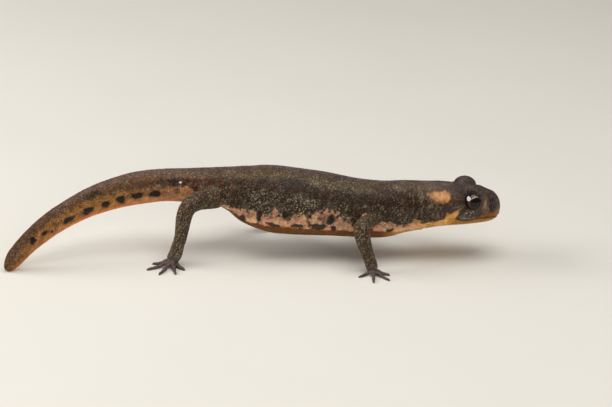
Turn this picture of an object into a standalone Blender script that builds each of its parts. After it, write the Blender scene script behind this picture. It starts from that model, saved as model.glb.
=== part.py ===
"""A young northern banded newt in its land phase, life size, standing on a level floor.

Sizes are in millimetres until a mesh is made. +X points to the snout, +Y to the newt's left and +Z up,
and the floor is z = 0. The body is one loft along a centreline through named landmarks, parted by thin
cuts. Each limb is one tapered tube from its joint inside the body to the palm or sole, parted at the
elbow or knee and at the wrist or ankle.
"""

from collections import namedtuple
from math import cos, pi, radians, sin

import bmesh
import bpy
import numpy as np
from mathutils import Matrix, Vector

MM = 0.001
# Space left between two touching pieces of flesh.
GAP = 0.3

# Landmarks of the body from snout to tail tip: the centre of each section at its widest level, the half
# width, the rise to the back and the fall to the belly, how square the section is above and below
# (2 is an ellipse, less is pointed), and how far the right side leans down, in degrees.
Landmark = namedtuple("Landmark", "x y z half_width rise fall square_up square_down lean")
BODY = (
    Landmark(40.25, 2.32, 7.95, 2.25, 2.08, 1.78, 2.2, 2.3, 6),
    Landmark(38.6, 1.95, 8.10, 2.70, 2.78, 1.94, 2.3, 2.5, 6),
    Landmark(37.0, 1.60, 8.20, 3.10, 3.20, 2.10, 2.4, 2.6, 6),
    Landmark(35.2, 1.25, 8.30, 3.45, 3.50, 2.30, 2.4, 2.6, 6),
    Landmark(32.5, 0.80, 8.40, 3.85, 3.85, 2.50, 2.3, 2.5, 6),
    Landmark(30.0, 0.50, 8.40, 3.90, 4.05, 2.80, 2.3, 2.4, 5),
    Landmark(27.6, 0.25, 8.30, 3.55, 4.32, 3.42, 2.2, 2.2, 3),
    Landmark(24.6, 0.00, 8.05, 3.75, 4.62, 3.78, 2.2, 2.2, 2),
    Landmark(20.6, -0.30, 7.70, 4.30, 4.82, 4.25, 2.2, 2.3, 0),
    Landmark(17.3, -0.45, 7.60, 4.65, 5.18, 4.15, 2.1, 2.3, 0),
    Landmark(14.0, -0.50, 7.70, 4.95, 5.50, 4.10, 2.1, 2.3, 0),
    Landmark(10.0, -0.50, 7.95, 5.20, 5.90, 4.35, 2.1, 2.3, 0),
    Landmark(6.0, -0.40, 8.15, 5.30, 6.08, 4.58, 2.1, 2.2, 0),
    Landmark(2.8, -0.25, 8.45, 5.10, 6.02, 4.62, 2.1, 2.2, 0),
    Landmark(-0.5, -0.10, 9.10, 4.55, 5.40, 4.15, 2.1, 2.1, 0),
    Landmark(-3.0, 0.10, 9.80, 3.85, 4.40, 3.10, 2.1, 2.1, 0),
    Landmark(-5.8, 0.20, 10.40, 3.30, 3.37, 2.55, 2.0, 2.1, 0),
    Landmark(-8.6, 0.25, 10.55, 2.90, 2.92, 2.85, 2.0, 2.0, 0),
    Landmark(-11.0, 0.20, 10.50, 2.50, 2.85, 2.65, 1.9, 1.9, 0),
    Landmark(-13.5, -0.05, 10.55, 2.20, 2.80, 2.60, 1.8, 1.8, 0),
    Landmark(-18.1, -1.00, 10.40, 1.90, 2.65, 2.75, 1.7, 1.7, 0),
    Landmark(-21.8, -2.30, 9.90, 1.65, 2.50, 2.70, 1.6, 1.6, 0),
    Landmark(-25.8, -4.20, 8.90, 1.45, 2.30, 2.50, 1.6, 1.6, 0),
    Landmark(-29.5, -6.40, 7.45, 1.25, 2.10, 2.30, 1.6, 1.6, 0),
    Landmark(-32.6, -8.50, 5.75, 1.05, 2.02, 2.10, 1.6, 1.6, 0),
    Landmark(-35.1, -10.40, 3.80, 0.90, 1.92, 1.85, 1.6, 1.6, 0),
    Landmark(-37.1, -12.10, 1.80, 0.75, 1.78, 1.65, 1.7, 1.7, 0),
    Landmark(-38.4, -13.30, 0.30, 0.60, 1.50, 1.45, 1.8, 1.8, 0),
)
# Lengths over which the snout and the tail tip round off, seen from the side and from above.
SNOUT_ROUND_SIDE = 1.6
SNOUT_ROUND_TOP = 2.8
TAIL_ROUND = 2.6
# The ridge along the spine, which runs on as the upper keel of the tail.
SPINE_RIDGE = 0.18
SPINE_RIDGE_START = 9.0
SPINE_RIDGE_ANGLE = radians(10)

# Where the body is parted: node name, first and last distance from the snout, and ring count.
BODY_NODES = (
    ("head", 0.0, 12.1, 30),
    ("neck", 12.1, 16.6, 6),
    ("chest", 16.6, 26.5, 12),
    ("belly", 26.5, 37.0, 12),
    ("hips", 37.0, 50.8, 16),
    ("tail_base", 50.8, 62.5, 12),
    ("tail_middle", 62.5, 74.5, 12),
    ("tail_tip", 74.5, None, 14),
)
BODY_SIDES = 30
# How much closer together the rings lie at the rounded ends, and how near to each end they stop.
END_CROWDING = 1.6
END_MARGIN = 0.03
# The vent is a low mound under the back of the hips.
VENT_AT = 48.6
VENT_LENGTH = 1.6
VENT_DEPTH = 0.35

# The eye and the dome of its two lids, on the left side of the head. The right side mirrors it.
EYE_AT = 5.55
EYE_OUT = 2.3
EYE_UP = 2.0
EYE_RADIUS = 1.25
LID_RADIUS = 2.08
LID_BULGE = 1.58
LID_RAISE = 0.15
LID_BACK = 0.15
OPENING_LONG = 1.32
OPENING_HIGH = 1.15
GAZE_FORWARD = radians(-8)
GAZE_UP = radians(20)

# The nostril is a pit at the corner of the snout.
NOSTRIL_AT = 1.05
NOSTRIL_ANGLE = radians(38)
NOSTRIL_RADIUS = 0.27

# The line of the mouth on each side: distance from the snout, and how far it lies below the centreline.
MOUTH_LINE = (
    (0.0, 0.85), (0.7, 0.78), (1.9, 0.6), (3.4, 0.5), (5.0, 0.66), (6.4, 0.8), (7.5, 0.7), (8.5, 0.2),
)
# Where the points along half the mouth lie, from its corner (1) to the front of the snout (0).
MOUTH_SHARES = (1.0, 0.93, 0.84, 0.73, 0.6, 0.47, 0.35, 0.24, 0.15, 0.08, 0.03, 0.0)
MOUTH_DEPTH = 0.45
MOUTH_WIDTH = 0.2
LIP_RADIUS = 0.27
LIP_SPREAD = 0.32
LIP_SINK = 0.19

# Limbs: joint positions from the root inside the body, through elbow and wrist or knee and ankle, to the
# ball of the hand or foot, then the headings of the digits, inner to outer, in degrees from +X to +Y.
Limb = namedtuple("Limb", "root bend cuff ball headings")
RIGHT_FINGERS = (-12, -50, -92, -142)
LEFT_FINGERS = (-18, 18, 54, 98)
ARMS = {
    "right": Limb((20.4, -2.6, 7.5), (17.3, -7.6, 7.2), (18.9, -8.4, 1.8), (19.4, -8.9, 0.7), RIGHT_FINGERS),
    "left": Limb((20.3, 2.4, 7.4), (18.6, 7.4, 7.5), (20.3, 8.9, 1.8), (21.3, 9.4, 0.7), LEFT_FINGERS),
}
RIGHT_TOES = (-44, -80, -114, -148, -184)
LEFT_TOES = (-12, 12, 36, 62, 98)
LEGS = {
    "right": Limb((-6.0, -1.9, 9.7), (-10.4, -6.4, 9.1), (-11.6, -7.5, 3.6), (-12.6, -8.2, 1.2), RIGHT_TOES),
    "left": Limb((-5.2, 2.2, 9.8), (-0.6, 6.6, 8.7), (1.0, 8.2, 3.2), (2.4, 9.1, 1.1), LEFT_TOES),
}
# Half widths and half thicknesses of a limb at even steps from its root to its ball.
ARM_WIDTHS = (1.55, 1.3, 1.15, 1.2, 1.35, 1.3, 1.2, 1.15, 1.25, 1.2)
ARM_THICKNESSES = (1.55, 1.3, 1.15, 1.2, 1.35, 1.3, 1.15, 0.9, 0.65, 0.5)
LEG_WIDTHS = (1.95, 1.7, 1.45, 1.4, 1.35, 1.25, 1.1, 1.15, 1.4, 1.35)
LEG_THICKNESSES = (1.95, 1.7, 1.5, 1.45, 1.35, 1.25, 1.05, 0.9, 0.75, 0.55)
LIMB_SIDES = 12
LIMB_RINGS = 31
LIMB_STEP = 0.75
PALM_STEP = 0.5
# The palm or sole runs on past the ball by this share of its length, sinks to this share of the ball's
# height and rounds off over this length.
PALM_REACH = 0.45
PALM_SINK = 0.85
PALM_ROUND = 0.9
FINGER_LENGTHS = (1.5, 2.6, 2.9, 1.9)
TOE_LENGTHS = (1.5, 2.7, 3.4, 3.3, 1.8)
FINGER_RADIUS = 0.4
TOE_RADIUS = 0.42
DIGIT_TAPER = 0.57
DIGIT_SIDES = 8
# How full a digit is along its length: narrow behind its middle, a little knob, then the tip.
DIGIT_SHARES = (0.0, 0.2, 0.42, 0.64, 0.84, 0.96, 1.0)
DIGIT_FULLNESS = (1.0, 0.98, 0.88, 0.92, 0.8, 0.58, 0.2)
# How much of a digit's round underside is pressed flat on the floor.
DIGIT_PRESS = 0.07
# How far a digit's root lies back inside the ball, as a share of the ball's half width.
DIGIT_ROOT_SHARE = 0.35
# How high the middle of a digit's root lies over the floor.
FINGER_LIFT = 0.55
TOE_LIFT = 0.8

# What sets an arm apart from a leg: its three node names, its sizes, and the lengths of the body that its
# root is cut to lie against.
LimbKind = namedtuple("LimbKind", "pieces widths thicknesses lengths digit_radius lift beside")
ARM = LimbKind(
    pieces=("upper_arm", "forearm", "hand"),
    widths=ARM_WIDTHS,
    thicknesses=ARM_THICKNESSES,
    lengths=FINGER_LENGTHS,
    digit_radius=FINGER_RADIUS,
    lift=FINGER_LIFT,
    beside=(15, 28),
)
LEG = LimbKind(
    pieces=("thigh", "shank", "foot"),
    widths=LEG_WIDTHS,
    thicknesses=LEG_THICKNESSES,
    lengths=TOE_LENGTHS,
    digit_radius=TOE_RADIUS,
    lift=TOE_LIFT,
    beside=(36, 52),
)

SKIN_BROWN = (0.105, 0.078, 0.06, 1.0)
TAIL_BROWN = (0.20, 0.11, 0.06, 1.0)
LIMB_GREY = (0.10, 0.082, 0.07, 1.0)
EYE_BLACK = (0.012, 0.010, 0.010, 1.0)


def clear_scene():
    for thing in list(bpy.data.objects):
        bpy.data.objects.remove(thing, do_unlink=True)


def material(name, colour, roughness):
    made = bpy.data.materials.new(name)
    made.use_nodes = True
    shader = made.node_tree.nodes["Principled BSDF"]
    shader.inputs["Base Color"].default_value = colour
    shader.inputs["Roughness"].default_value = roughness
    shader.inputs["Metallic"].default_value = 0.0
    made.diffuse_color = colour
    return made


def hermite(at, knots, values):
    """Smooth curve through values at knots, read at the given places."""
    slopes = np.gradient(values, knots, axis=0)
    k = np.clip(np.searchsorted(knots, at, side="right") - 1, 0, len(knots) - 2)
    span = knots[k + 1] - knots[k]
    u = (at - knots[k]) / span
    shape = (len(u),) + (1,) * (values.ndim - 1)
    u, span = u.reshape(shape), span.reshape(shape)
    start = (2 * u**3 - 3 * u**2 + 1) * values[k] + (u**3 - 2 * u**2 + u) * span * slopes[k]
    end = (3 * u**2 - 2 * u**3) * values[k + 1] + (u**3 - u**2) * span * slopes[k + 1]
    return start + end


class Body:
    """The body's centreline and sections, read by distance from the snout."""

    def __init__(self, landmarks):
        self.table = np.array(landmarks, float)
        steps = np.linalg.norm(np.diff(self.table[:, :3], axis=0), axis=1)
        self.knots = np.concatenate([[0.0], np.cumsum(steps)])
        self.length = self.knots[-1]

    def frame(self, at):
        """Centres and the forward, left and up directions there."""
        at = np.atleast_1d(np.asarray(at, float))
        step = 0.05
        read = hermite(at, self.knots, self.table)
        ahead = hermite(np.clip(at - step, 0, self.length), self.knots, self.table)[:, :3]
        behind = hermite(np.clip(at + step, 0, self.length), self.knots, self.table)[:, :3]
        forward = ahead - behind
        forward /= np.linalg.norm(forward, axis=1, keepdims=True)
        left = np.cross([0.0, 0.0, 1.0], forward)
        left /= np.linalg.norm(left, axis=1, keepdims=True)
        up = np.cross(forward, left)
        lean = np.radians(read[:, 8:9])
        left, up = left * np.cos(lean) + up * np.sin(lean), up * np.cos(lean) - left * np.sin(lean)
        return read, forward, left, up

    def points(self, at, angles, swell=0.0):
        """Surface points, one row for each place and one column for each angle from the left side up."""
        at = np.atleast_1d(np.asarray(at, float))
        read, _, left, up = self.frame(at)
        c, s = np.cos(angles)[None, :], np.sin(angles)[None, :]
        above = s >= 0
        square = np.where(above, read[:, 6:7], read[:, 7:8])
        height = np.where(above, read[:, 4:5], read[:, 5:6])
        side_round = end_round(at, self.length, SNOUT_ROUND_SIDE)[:, None]
        top_round = end_round(at, self.length, SNOUT_ROUND_TOP)[:, None]
        out = (read[:, 3:4] * top_round + swell) * np.sign(c) * np.abs(c) ** (2 / square)
        high = (height * side_round + swell) * np.sign(s) * np.abs(s) ** (2 / square)
        ridge = np.exp(-(((angles - pi / 2) / SPINE_RIDGE_ANGLE) ** 2))[None, :]
        ridge = ridge * smooth(at, SPINE_RIDGE_START, SPINE_RIDGE_START + 4)[:, None]
        high = high + SPINE_RIDGE * ridge * side_round
        vent = np.exp(-(((at - VENT_AT) / VENT_LENGTH) ** 2))[:, None] * np.clip(-s, 0, 1) ** 3
        high = high - VENT_DEPTH * vent
        return read[:, None, :3] + left[:, None, :] * out[..., None] + up[:, None, :] * high[..., None]

    def place(self, at, out, high):
        """The point that far to the left of and above the centreline."""
        read, _, left, up = self.frame(at)
        return read[0, :3] + left[0] * out + up[0] * high


def smooth(value, low, high):
    u = np.clip((np.asarray(value, float) - low) / (high - low), 0, 1)
    return u * u * (3 - 2 * u)


def end_round(at, length, snout):
    """How full the section is near the rounded ends of the body, from 0 to 1."""
    front = np.clip(1 - at / snout, 0, 1)
    back = np.clip(1 - (length - at) / TAIL_ROUND, 0, 1)
    return np.sqrt(np.clip(1 - front**2, 0, 1)) * np.sqrt(np.clip(1 - back**2, 0, 1))


def object_from(name, rings):
    """A closed tube through rings of points, with flat caps at both ends."""
    count, sides = len(rings), len(rings[0])
    points = [tuple(p * MM) for ring in rings for p in ring]
    faces = []
    for i in range(count - 1):
        for j in range(sides):
            k = (j + 1) % sides
            faces.append((i * sides + j, i * sides + k, (i + 1) * sides + k, (i + 1) * sides + j))
    faces.append(tuple(range(sides - 1, -1, -1)))
    faces.append(tuple((count - 1) * sides + j for j in range(sides)))
    mesh = bpy.data.meshes.new(name)
    mesh.from_pydata(points, [], faces)
    made = bpy.data.objects.new(name, mesh)
    bpy.context.scene.collection.objects.link(made)
    face_outwards(made)
    return made


def face_outwards(thing):
    work = bmesh.new()
    work.from_mesh(thing.data)
    bmesh.ops.recalc_face_normals(work, faces=work.faces)
    if work.calc_volume(signed=True) < 0:
        bmesh.ops.reverse_faces(work, faces=work.faces)
    work.to_mesh(thing.data)
    work.free()


def ellipsoid(name, centre, axes, radii, sides=20, rings=12):
    """A closed ellipsoid whose radii run along the three given axes."""
    mesh = bpy.data.meshes.new(name)
    work = bmesh.new()
    bmesh.ops.create_uvsphere(work, u_segments=sides, v_segments=rings, radius=1.0)
    turn = Matrix([[axes[c][r] * radii[c] * MM for c in range(3)] for r in range(3)]).to_4x4()
    bmesh.ops.transform(work, matrix=Matrix.Translation(Vector(centre) * MM) @ turn, verts=work.verts)
    work.to_mesh(mesh)
    work.free()
    made = bpy.data.objects.new(name, mesh)
    bpy.context.scene.collection.objects.link(made)
    face_outwards(made)
    return made


def combine(base, others, operation):
    """Joins or cuts base with the others in one Boolean, applies it and removes the others."""
    helpers = bpy.data.collections.new("helpers")
    bpy.context.scene.collection.children.link(helpers)
    for other in others:
        bpy.context.scene.collection.objects.unlink(other)
        helpers.objects.link(other)
    boolean = base.modifiers.new("join", "BOOLEAN")
    boolean.operation = operation
    boolean.solver = "EXACT"
    boolean.operand_type = "COLLECTION"
    boolean.collection = helpers
    bpy.context.view_layer.update()
    graph = bpy.context.evaluated_depsgraph_get()
    joined = bpy.data.meshes.new_from_object(base.evaluated_get(graph), depsgraph=graph)
    base.modifiers.clear()
    base.data = joined
    for other in others:
        bpy.data.objects.remove(other, do_unlink=True)
    bpy.data.collections.remove(helpers)
    keep_largest_shell(base)


def keep_largest_shell(thing):
    """Drops loose scraps and sealed hollows that a Boolean leaves."""
    work = bmesh.new()
    work.from_mesh(thing.data)
    unseen = set(work.verts)
    shells = []
    while unseen:
        stack = [unseen.pop()]
        shell = set(stack)
        while stack:
            for edge in stack.pop().link_edges:
                for vert in edge.verts:
                    if vert in unseen:
                        unseen.remove(vert)
                        shell.add(vert)
                        stack.append(vert)
        shells.append(shell)
    shells.sort(key=len)
    loose = [vert for shell in shells[:-1] for vert in shell]
    bmesh.ops.delete(work, geom=loose, context="VERTS")
    work.to_mesh(thing.data)
    work.free()


def ring_places(start, end, count, length):
    """Distances for rings, set closer where the snout and the tail tip round off."""
    share = np.linspace(0, 1, count)
    if start == 0:
        share = share**END_CROWDING
    if end == length:
        share = 1 - (1 - share) ** END_CROWDING
    places = start + (end - start) * share
    return np.clip(places, END_MARGIN, length - END_MARGIN)


def build_body(body):
    angles = np.arange(BODY_SIDES) * 2 * pi / BODY_SIDES
    nodes = {}
    for name, start, end, count in BODY_NODES:
        first = 0.0 if start == 0 else start + GAP / 2
        last = body.length if end is None else end - GAP / 2
        rings = body.points(ring_places(first, last, count, body.length), angles)
        nodes[name] = object_from(name, rings)
    return nodes


def eye_frame(body, side):
    """Centre of the eyeball, the gaze direction and two directions across it; side is 1 on the left."""
    _, forward, left, up = (v[0] for v in body.frame(EYE_AT))
    centre = body.place(EYE_AT, side * EYE_OUT, EYE_UP)
    level = side * left * cos(GAZE_FORWARD) + forward * sin(GAZE_FORWARD)
    gaze = level * cos(GAZE_UP) + up * sin(GAZE_UP)
    across = np.cross(up, gaze)
    across /= np.linalg.norm(across)
    return centre, gaze, across, np.cross(gaze, across)


def mouth_path(body, raised=0.0):
    """Points of the mouth's line from corner to corner round the snout, with up and outward there.

    raised moves the line up over the skin by that many millimetres, or down where it is negative.
    """
    line = np.array(MOUTH_LINE)
    chin = (line[0, 1] - raised) / body.frame(0.5)[0][0, 5]
    front = SNOUT_ROUND_SIDE * (1 - np.sqrt(1 - chin**2))
    corner = line[-1, 0]
    places = front + (corner - front) * np.array(MOUTH_SHARES)
    depths = hermite(places, line[:, 0], line[:, 1]) - raised
    halves = []
    for side in (1, -1):
        half = []
        for at, depth in zip(places, depths):
            read, _, _, up = body.frame(at)
            fall = read[0, 5] * end_round(at, body.length, SNOUT_ROUND_SIDE)
            share = 1.0 if at == front else min(max(depth, 0.0) / fall, 1.0)
            angle = -np.arcsin(share ** (read[0, 7] / 2))
            point = body.points(at, np.array([angle if side == 1 else pi - angle]))[0, 0]
            half.append((point, up[0]))
        halves.append(half)
    path = halves[0] + halves[1][-2::-1]
    points = np.array([point for point, _ in path])
    ups = np.array([up for _, up in path])
    outward = np.cross(np.gradient(points, axis=0), ups)
    outward /= np.linalg.norm(outward, axis=1, keepdims=True)
    if np.sum((points - points.mean(axis=0)) * outward) < 0:
        outward = -outward
    return points, ups, outward


def mouth_cutter(body):
    """A thin band that cuts the line of the mouth."""
    points, ups, outward = mouth_path(body)
    inner, outer = points - outward * MOUTH_DEPTH, points + outward * MOUTH_DEPTH
    half = ups * MOUTH_WIDTH / 2
    rings = np.stack([inner - half, outer - half, outer + half, inner + half], axis=1)
    return object_from("mouth_cutter", rings)


def lip(body, name, side):
    """The roll of one lip along the mouth, above it or below it, tapered to the corners."""
    points, ups, outward = mouth_path(body, side * LIP_SPREAD)
    taper = np.sin(np.linspace(0.1, pi - 0.1, len(points))) ** 0.5
    middle = points - outward * LIP_SINK
    angles = np.arange(8)[None, :, None] * pi / 4
    around = outward[:, None, :] * np.cos(angles) + ups[:, None, :] * np.sin(angles)
    rings = middle[:, None, :] + (LIP_RADIUS * taper)[:, None, None] * around
    return object_from(name, rings)


def build_head(body, head):
    """Adds lids, lips, sockets, nostrils and the mouth line to the head, and makes the eyes."""
    mounds = [lip(body, "upper_lip", 1), lip(body, "lower_lip", -1)]
    cutters, eyes = [mouth_cutter(body)], {}
    for label, side in (("left", 1), ("right", -1)):
        centre, gaze, across, high = eye_frame(body, side)
        axes = (across, high, gaze)
        dome = centre + high * LID_RAISE - body.frame(EYE_AT)[1][0] * LID_BACK
        mounds.append(ellipsoid("lid_" + label, dome, axes, (LID_RADIUS, LID_RADIUS, LID_BULGE)))
        socket = EYE_RADIUS + GAP
        cutters.append(ellipsoid("socket_" + label, centre, axes, (socket, socket, socket)))
        opening = centre + gaze * EYE_RADIUS
        cutters.append(ellipsoid("opening_" + label, opening, axes, (OPENING_LONG, OPENING_HIGH, EYE_RADIUS)))
        nostril_angle = NOSTRIL_ANGLE if side == 1 else pi - NOSTRIL_ANGLE
        nostril = body.points(NOSTRIL_AT, np.array([nostril_angle]))[0, 0]
        size = (NOSTRIL_RADIUS,) * 3
        cutters.append(ellipsoid("nostril_" + label, nostril, axes, size, sides=8, rings=6))
        ball = (EYE_RADIUS,) * 3
        eyes["eye_" + label] = ellipsoid("eye_" + label, centre, axes, ball, sides=20, rings=12)
    combine(head, mounds, "UNION")
    combine(head, cutters, "DIFFERENCE")
    return eyes


def limb_rings(limb, widths, thicknesses):
    """Rings from the root to the ball, carried back from the ball so that the palm stays level."""
    joints = np.array([limb.root, limb.bend, limb.cuff, limb.ball], float)
    reach = joints[-1] + (joints[-1] - joints[-2]) * [1, 1, 0] * PALM_REACH
    reach[2] = joints[-1][2] * PALM_SINK
    joints = np.vstack([joints, reach])
    steps = np.linalg.norm(np.diff(joints, axis=0), axis=1)
    knots = np.concatenate([[0.0], np.cumsum(steps)])
    places = np.linspace(0, knots[-1], LIMB_RINGS)
    path = hermite(places, knots, joints)
    sections = np.stack([widths, thicknesses], axis=1)
    size = hermite(np.linspace(0, 1, LIMB_RINGS), np.linspace(0, 1, len(sections)), sections)
    near_end = np.clip(1 - (knots[-1] - places) / PALM_ROUND, 0, 1)
    size = size * np.sqrt(np.clip(1 - near_end**2, 0.02, 1))[:, None]
    along = np.gradient(path, axis=0)
    along /= np.linalg.norm(along, axis=1, keepdims=True)
    normals = np.zeros_like(path)
    normal = np.array([0.0, 0.0, 1.0])
    for i in range(len(path) - 1, -1, -1):
        normal = normal - along[i] * (normal @ along[i])
        normal /= np.linalg.norm(normal)
        normals[i] = normal
    across = np.cross(along, normals)
    angles = (np.arange(LIMB_SIDES) * 2 * pi / LIMB_SIDES)[:, None]
    rings = [
        path[i] + across[i] * size[i, 0] * np.cos(angles) + normals[i] * size[i, 1] * np.sin(angles)
        for i in range(len(path))
    ]
    return places, knots, rings


def parted(name, places, rings, start, end, step):
    """The closed piece of a limb between two distances, with rings about a step apart."""
    stack = np.array(rings)
    wanted = np.arange(start, end, step)
    if end - wanted[-1] < step / 2:
        wanted = wanted[:-1]
    picked = []
    for place in np.append(wanted, end):
        after = min(max(np.searchsorted(places, place), 1), len(places) - 1)
        share = (place - places[after - 1]) / (places[after] - places[after - 1])
        picked.append(stack[after - 1] * (1 - share) + stack[after] * share)
    return object_from(name, picked)


def digit(name, root, heading, length, radius):
    """One finger or toe: it comes down from the ball and lies along the floor to its tip."""
    course = np.array([cos(radians(heading)), sin(radians(heading)), 0.0])
    across = np.array([-course[1], course[0], 0.0])
    angles = (np.arange(DIGIT_SIDES) * 2 * pi / DIGIT_SIDES + pi / DIGIT_SIDES)[:, None]
    rings = []
    for u, fullness in zip(DIGIT_SHARES, DIGIT_FULLNESS):
        r = radius * (1 - (1 - DIGIT_TAPER) * u) * fullness
        centre = root + course * length * u
        centre[2] = root[2] + (r - DIGIT_PRESS - root[2]) * smooth(u, 0.0, 0.6)
        rings.append(centre + across * r * np.cos(angles) + np.array([0, 0, r]) * np.sin(angles))
    return object_from(name, rings)


def build_limb(limb, kind, side, body):
    """One limb as three nodes; its root is cut to lie against the body."""
    upper, lower, hand = (f"{piece}_{side}" for piece in kind.pieces)
    places, knots, rings = limb_rings(limb, kind.widths, kind.thicknesses)
    elbow, cuff = knots[1], knots[2]
    pieces = {
        upper: parted(upper, places, rings, 0.0, elbow - GAP / 2, LIMB_STEP),
        lower: parted(lower, places, rings, elbow + GAP / 2, cuff - GAP / 2, LIMB_STEP),
        hand: parted(hand, places, rings, cuff + GAP / 2, knots[-1], PALM_STEP),
    }
    angles = np.arange(BODY_SIDES) * 2 * pi / BODY_SIDES
    around = body.points(np.linspace(*kind.beside, 16), angles, swell=GAP)
    combine(pieces[upper], [object_from("flank", around)], "DIFFERENCE")
    ball = np.array(limb.ball)
    ball_half = kind.widths[-2]
    digits = []
    for i, (heading, length) in enumerate(zip(limb.headings, kind.lengths)):
        course = np.array([cos(radians(heading)), sin(radians(heading)), 0.0])
        root = ball + DIGIT_ROOT_SHARE * ball_half * course
        root[2] = kind.lift
        reach = length + ball_half * (1 - DIGIT_ROOT_SHARE)
        digits.append(digit(f"{hand}_digit_{i}", root, heading, reach, kind.digit_radius))
    combine(pieces[hand], digits, "UNION")
    return pieces


def stand_on_floor(thing):
    """Cuts off what would reach below the floor, so that each foot has a small level flat."""
    work = bmesh.new()
    work.from_mesh(thing.data)
    if min(vert.co.z for vert in work.verts) < 0:
        everything = work.verts[:] + work.edges[:] + work.faces[:]
        floor = {"plane_co": (0, 0, 0), "plane_no": (0, 0, -1)}
        bmesh.ops.bisect_plane(work, geom=everything, dist=1e-8, clear_outer=True, **floor)
        bmesh.ops.holes_fill(work, edges=[edge for edge in work.edges if edge.is_boundary], sides=0)
        bmesh.ops.triangulate(work, faces=[face for face in work.faces if len(face.verts) > 4])
        work.to_mesh(thing.data)
    work.free()


def centre_on_origin(things):
    """Moves everything so that the middle of the whole newt's box is over the origin."""
    spots = np.array([v.co for thing in things for v in thing.data.vertices])
    middle = (spots.min(axis=0) + spots.max(axis=0)) / 2
    for thing in things:
        thing.data.transform(Matrix.Translation((-middle[0], -middle[1], 0.0)))
        thing.data.shade_smooth()


def main():
    clear_scene()
    body = Body(BODY)
    nodes = build_body(body)
    eyes = build_head(body, nodes["head"])
    limbs = {}
    for side in ("right", "left"):
        limbs.update(build_limb(ARMS[side], ARM, side, body))
        limbs.update(build_limb(LEGS[side], LEG, side, body))
    tail = {name: nodes.pop(name) for name in ("tail_base", "tail_middle", "tail_tip")}
    finishes = (
        (nodes, material("skin_brown", SKIN_BROWN, 0.5)),
        (tail, material("tail_brown", TAIL_BROWN, 0.5)),
        (limbs, material("limb_grey", LIMB_GREY, 0.55)),
        (eyes, material("eye_black", EYE_BLACK, 0.08)),
    )
    everything = []
    for group, finish in finishes:
        for thing in group.values():
            stand_on_floor(thing)
            thing.data.materials.clear()
            thing.data.materials.append(finish)
            everything.append(thing)
    centre_on_origin(everything)


main()
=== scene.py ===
"""The looks of a young northern banded newt, life size: its skin, eyes, light, floor and camera.

Sizes are in millimetres until a mesh is finished. The newt's measures repeat those of its solids. They are
worked in a frame of their own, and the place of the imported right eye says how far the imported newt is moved
from it. The skin is one surface over all the flesh: the body's loft, the lids, the limbs and the digits are
fused, then folded, grooved and given their markings by functions of the place along and around the body.
"""

from collections import namedtuple
from itertools import product
from math import cos, pi, radians, sin

import bmesh
import bpy
import numpy as np
from mathutils import Matrix, Vector


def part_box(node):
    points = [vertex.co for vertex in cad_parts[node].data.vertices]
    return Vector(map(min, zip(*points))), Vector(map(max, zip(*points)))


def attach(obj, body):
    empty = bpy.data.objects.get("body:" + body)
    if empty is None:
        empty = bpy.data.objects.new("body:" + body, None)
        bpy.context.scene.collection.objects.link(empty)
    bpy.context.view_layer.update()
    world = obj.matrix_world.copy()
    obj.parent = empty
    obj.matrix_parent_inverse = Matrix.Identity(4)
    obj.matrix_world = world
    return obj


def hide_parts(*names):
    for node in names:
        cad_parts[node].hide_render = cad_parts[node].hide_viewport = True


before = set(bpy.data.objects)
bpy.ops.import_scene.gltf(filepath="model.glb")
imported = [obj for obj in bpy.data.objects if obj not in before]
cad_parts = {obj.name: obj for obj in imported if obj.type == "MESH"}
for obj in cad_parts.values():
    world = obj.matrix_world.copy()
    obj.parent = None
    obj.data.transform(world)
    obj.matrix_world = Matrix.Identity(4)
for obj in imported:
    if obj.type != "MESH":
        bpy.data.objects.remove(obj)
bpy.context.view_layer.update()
FLESH_NODES = [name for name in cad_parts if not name.startswith("eye_")]
MM = 0.001
# The left side and the right.
SIDES = (1, -1)

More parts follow.
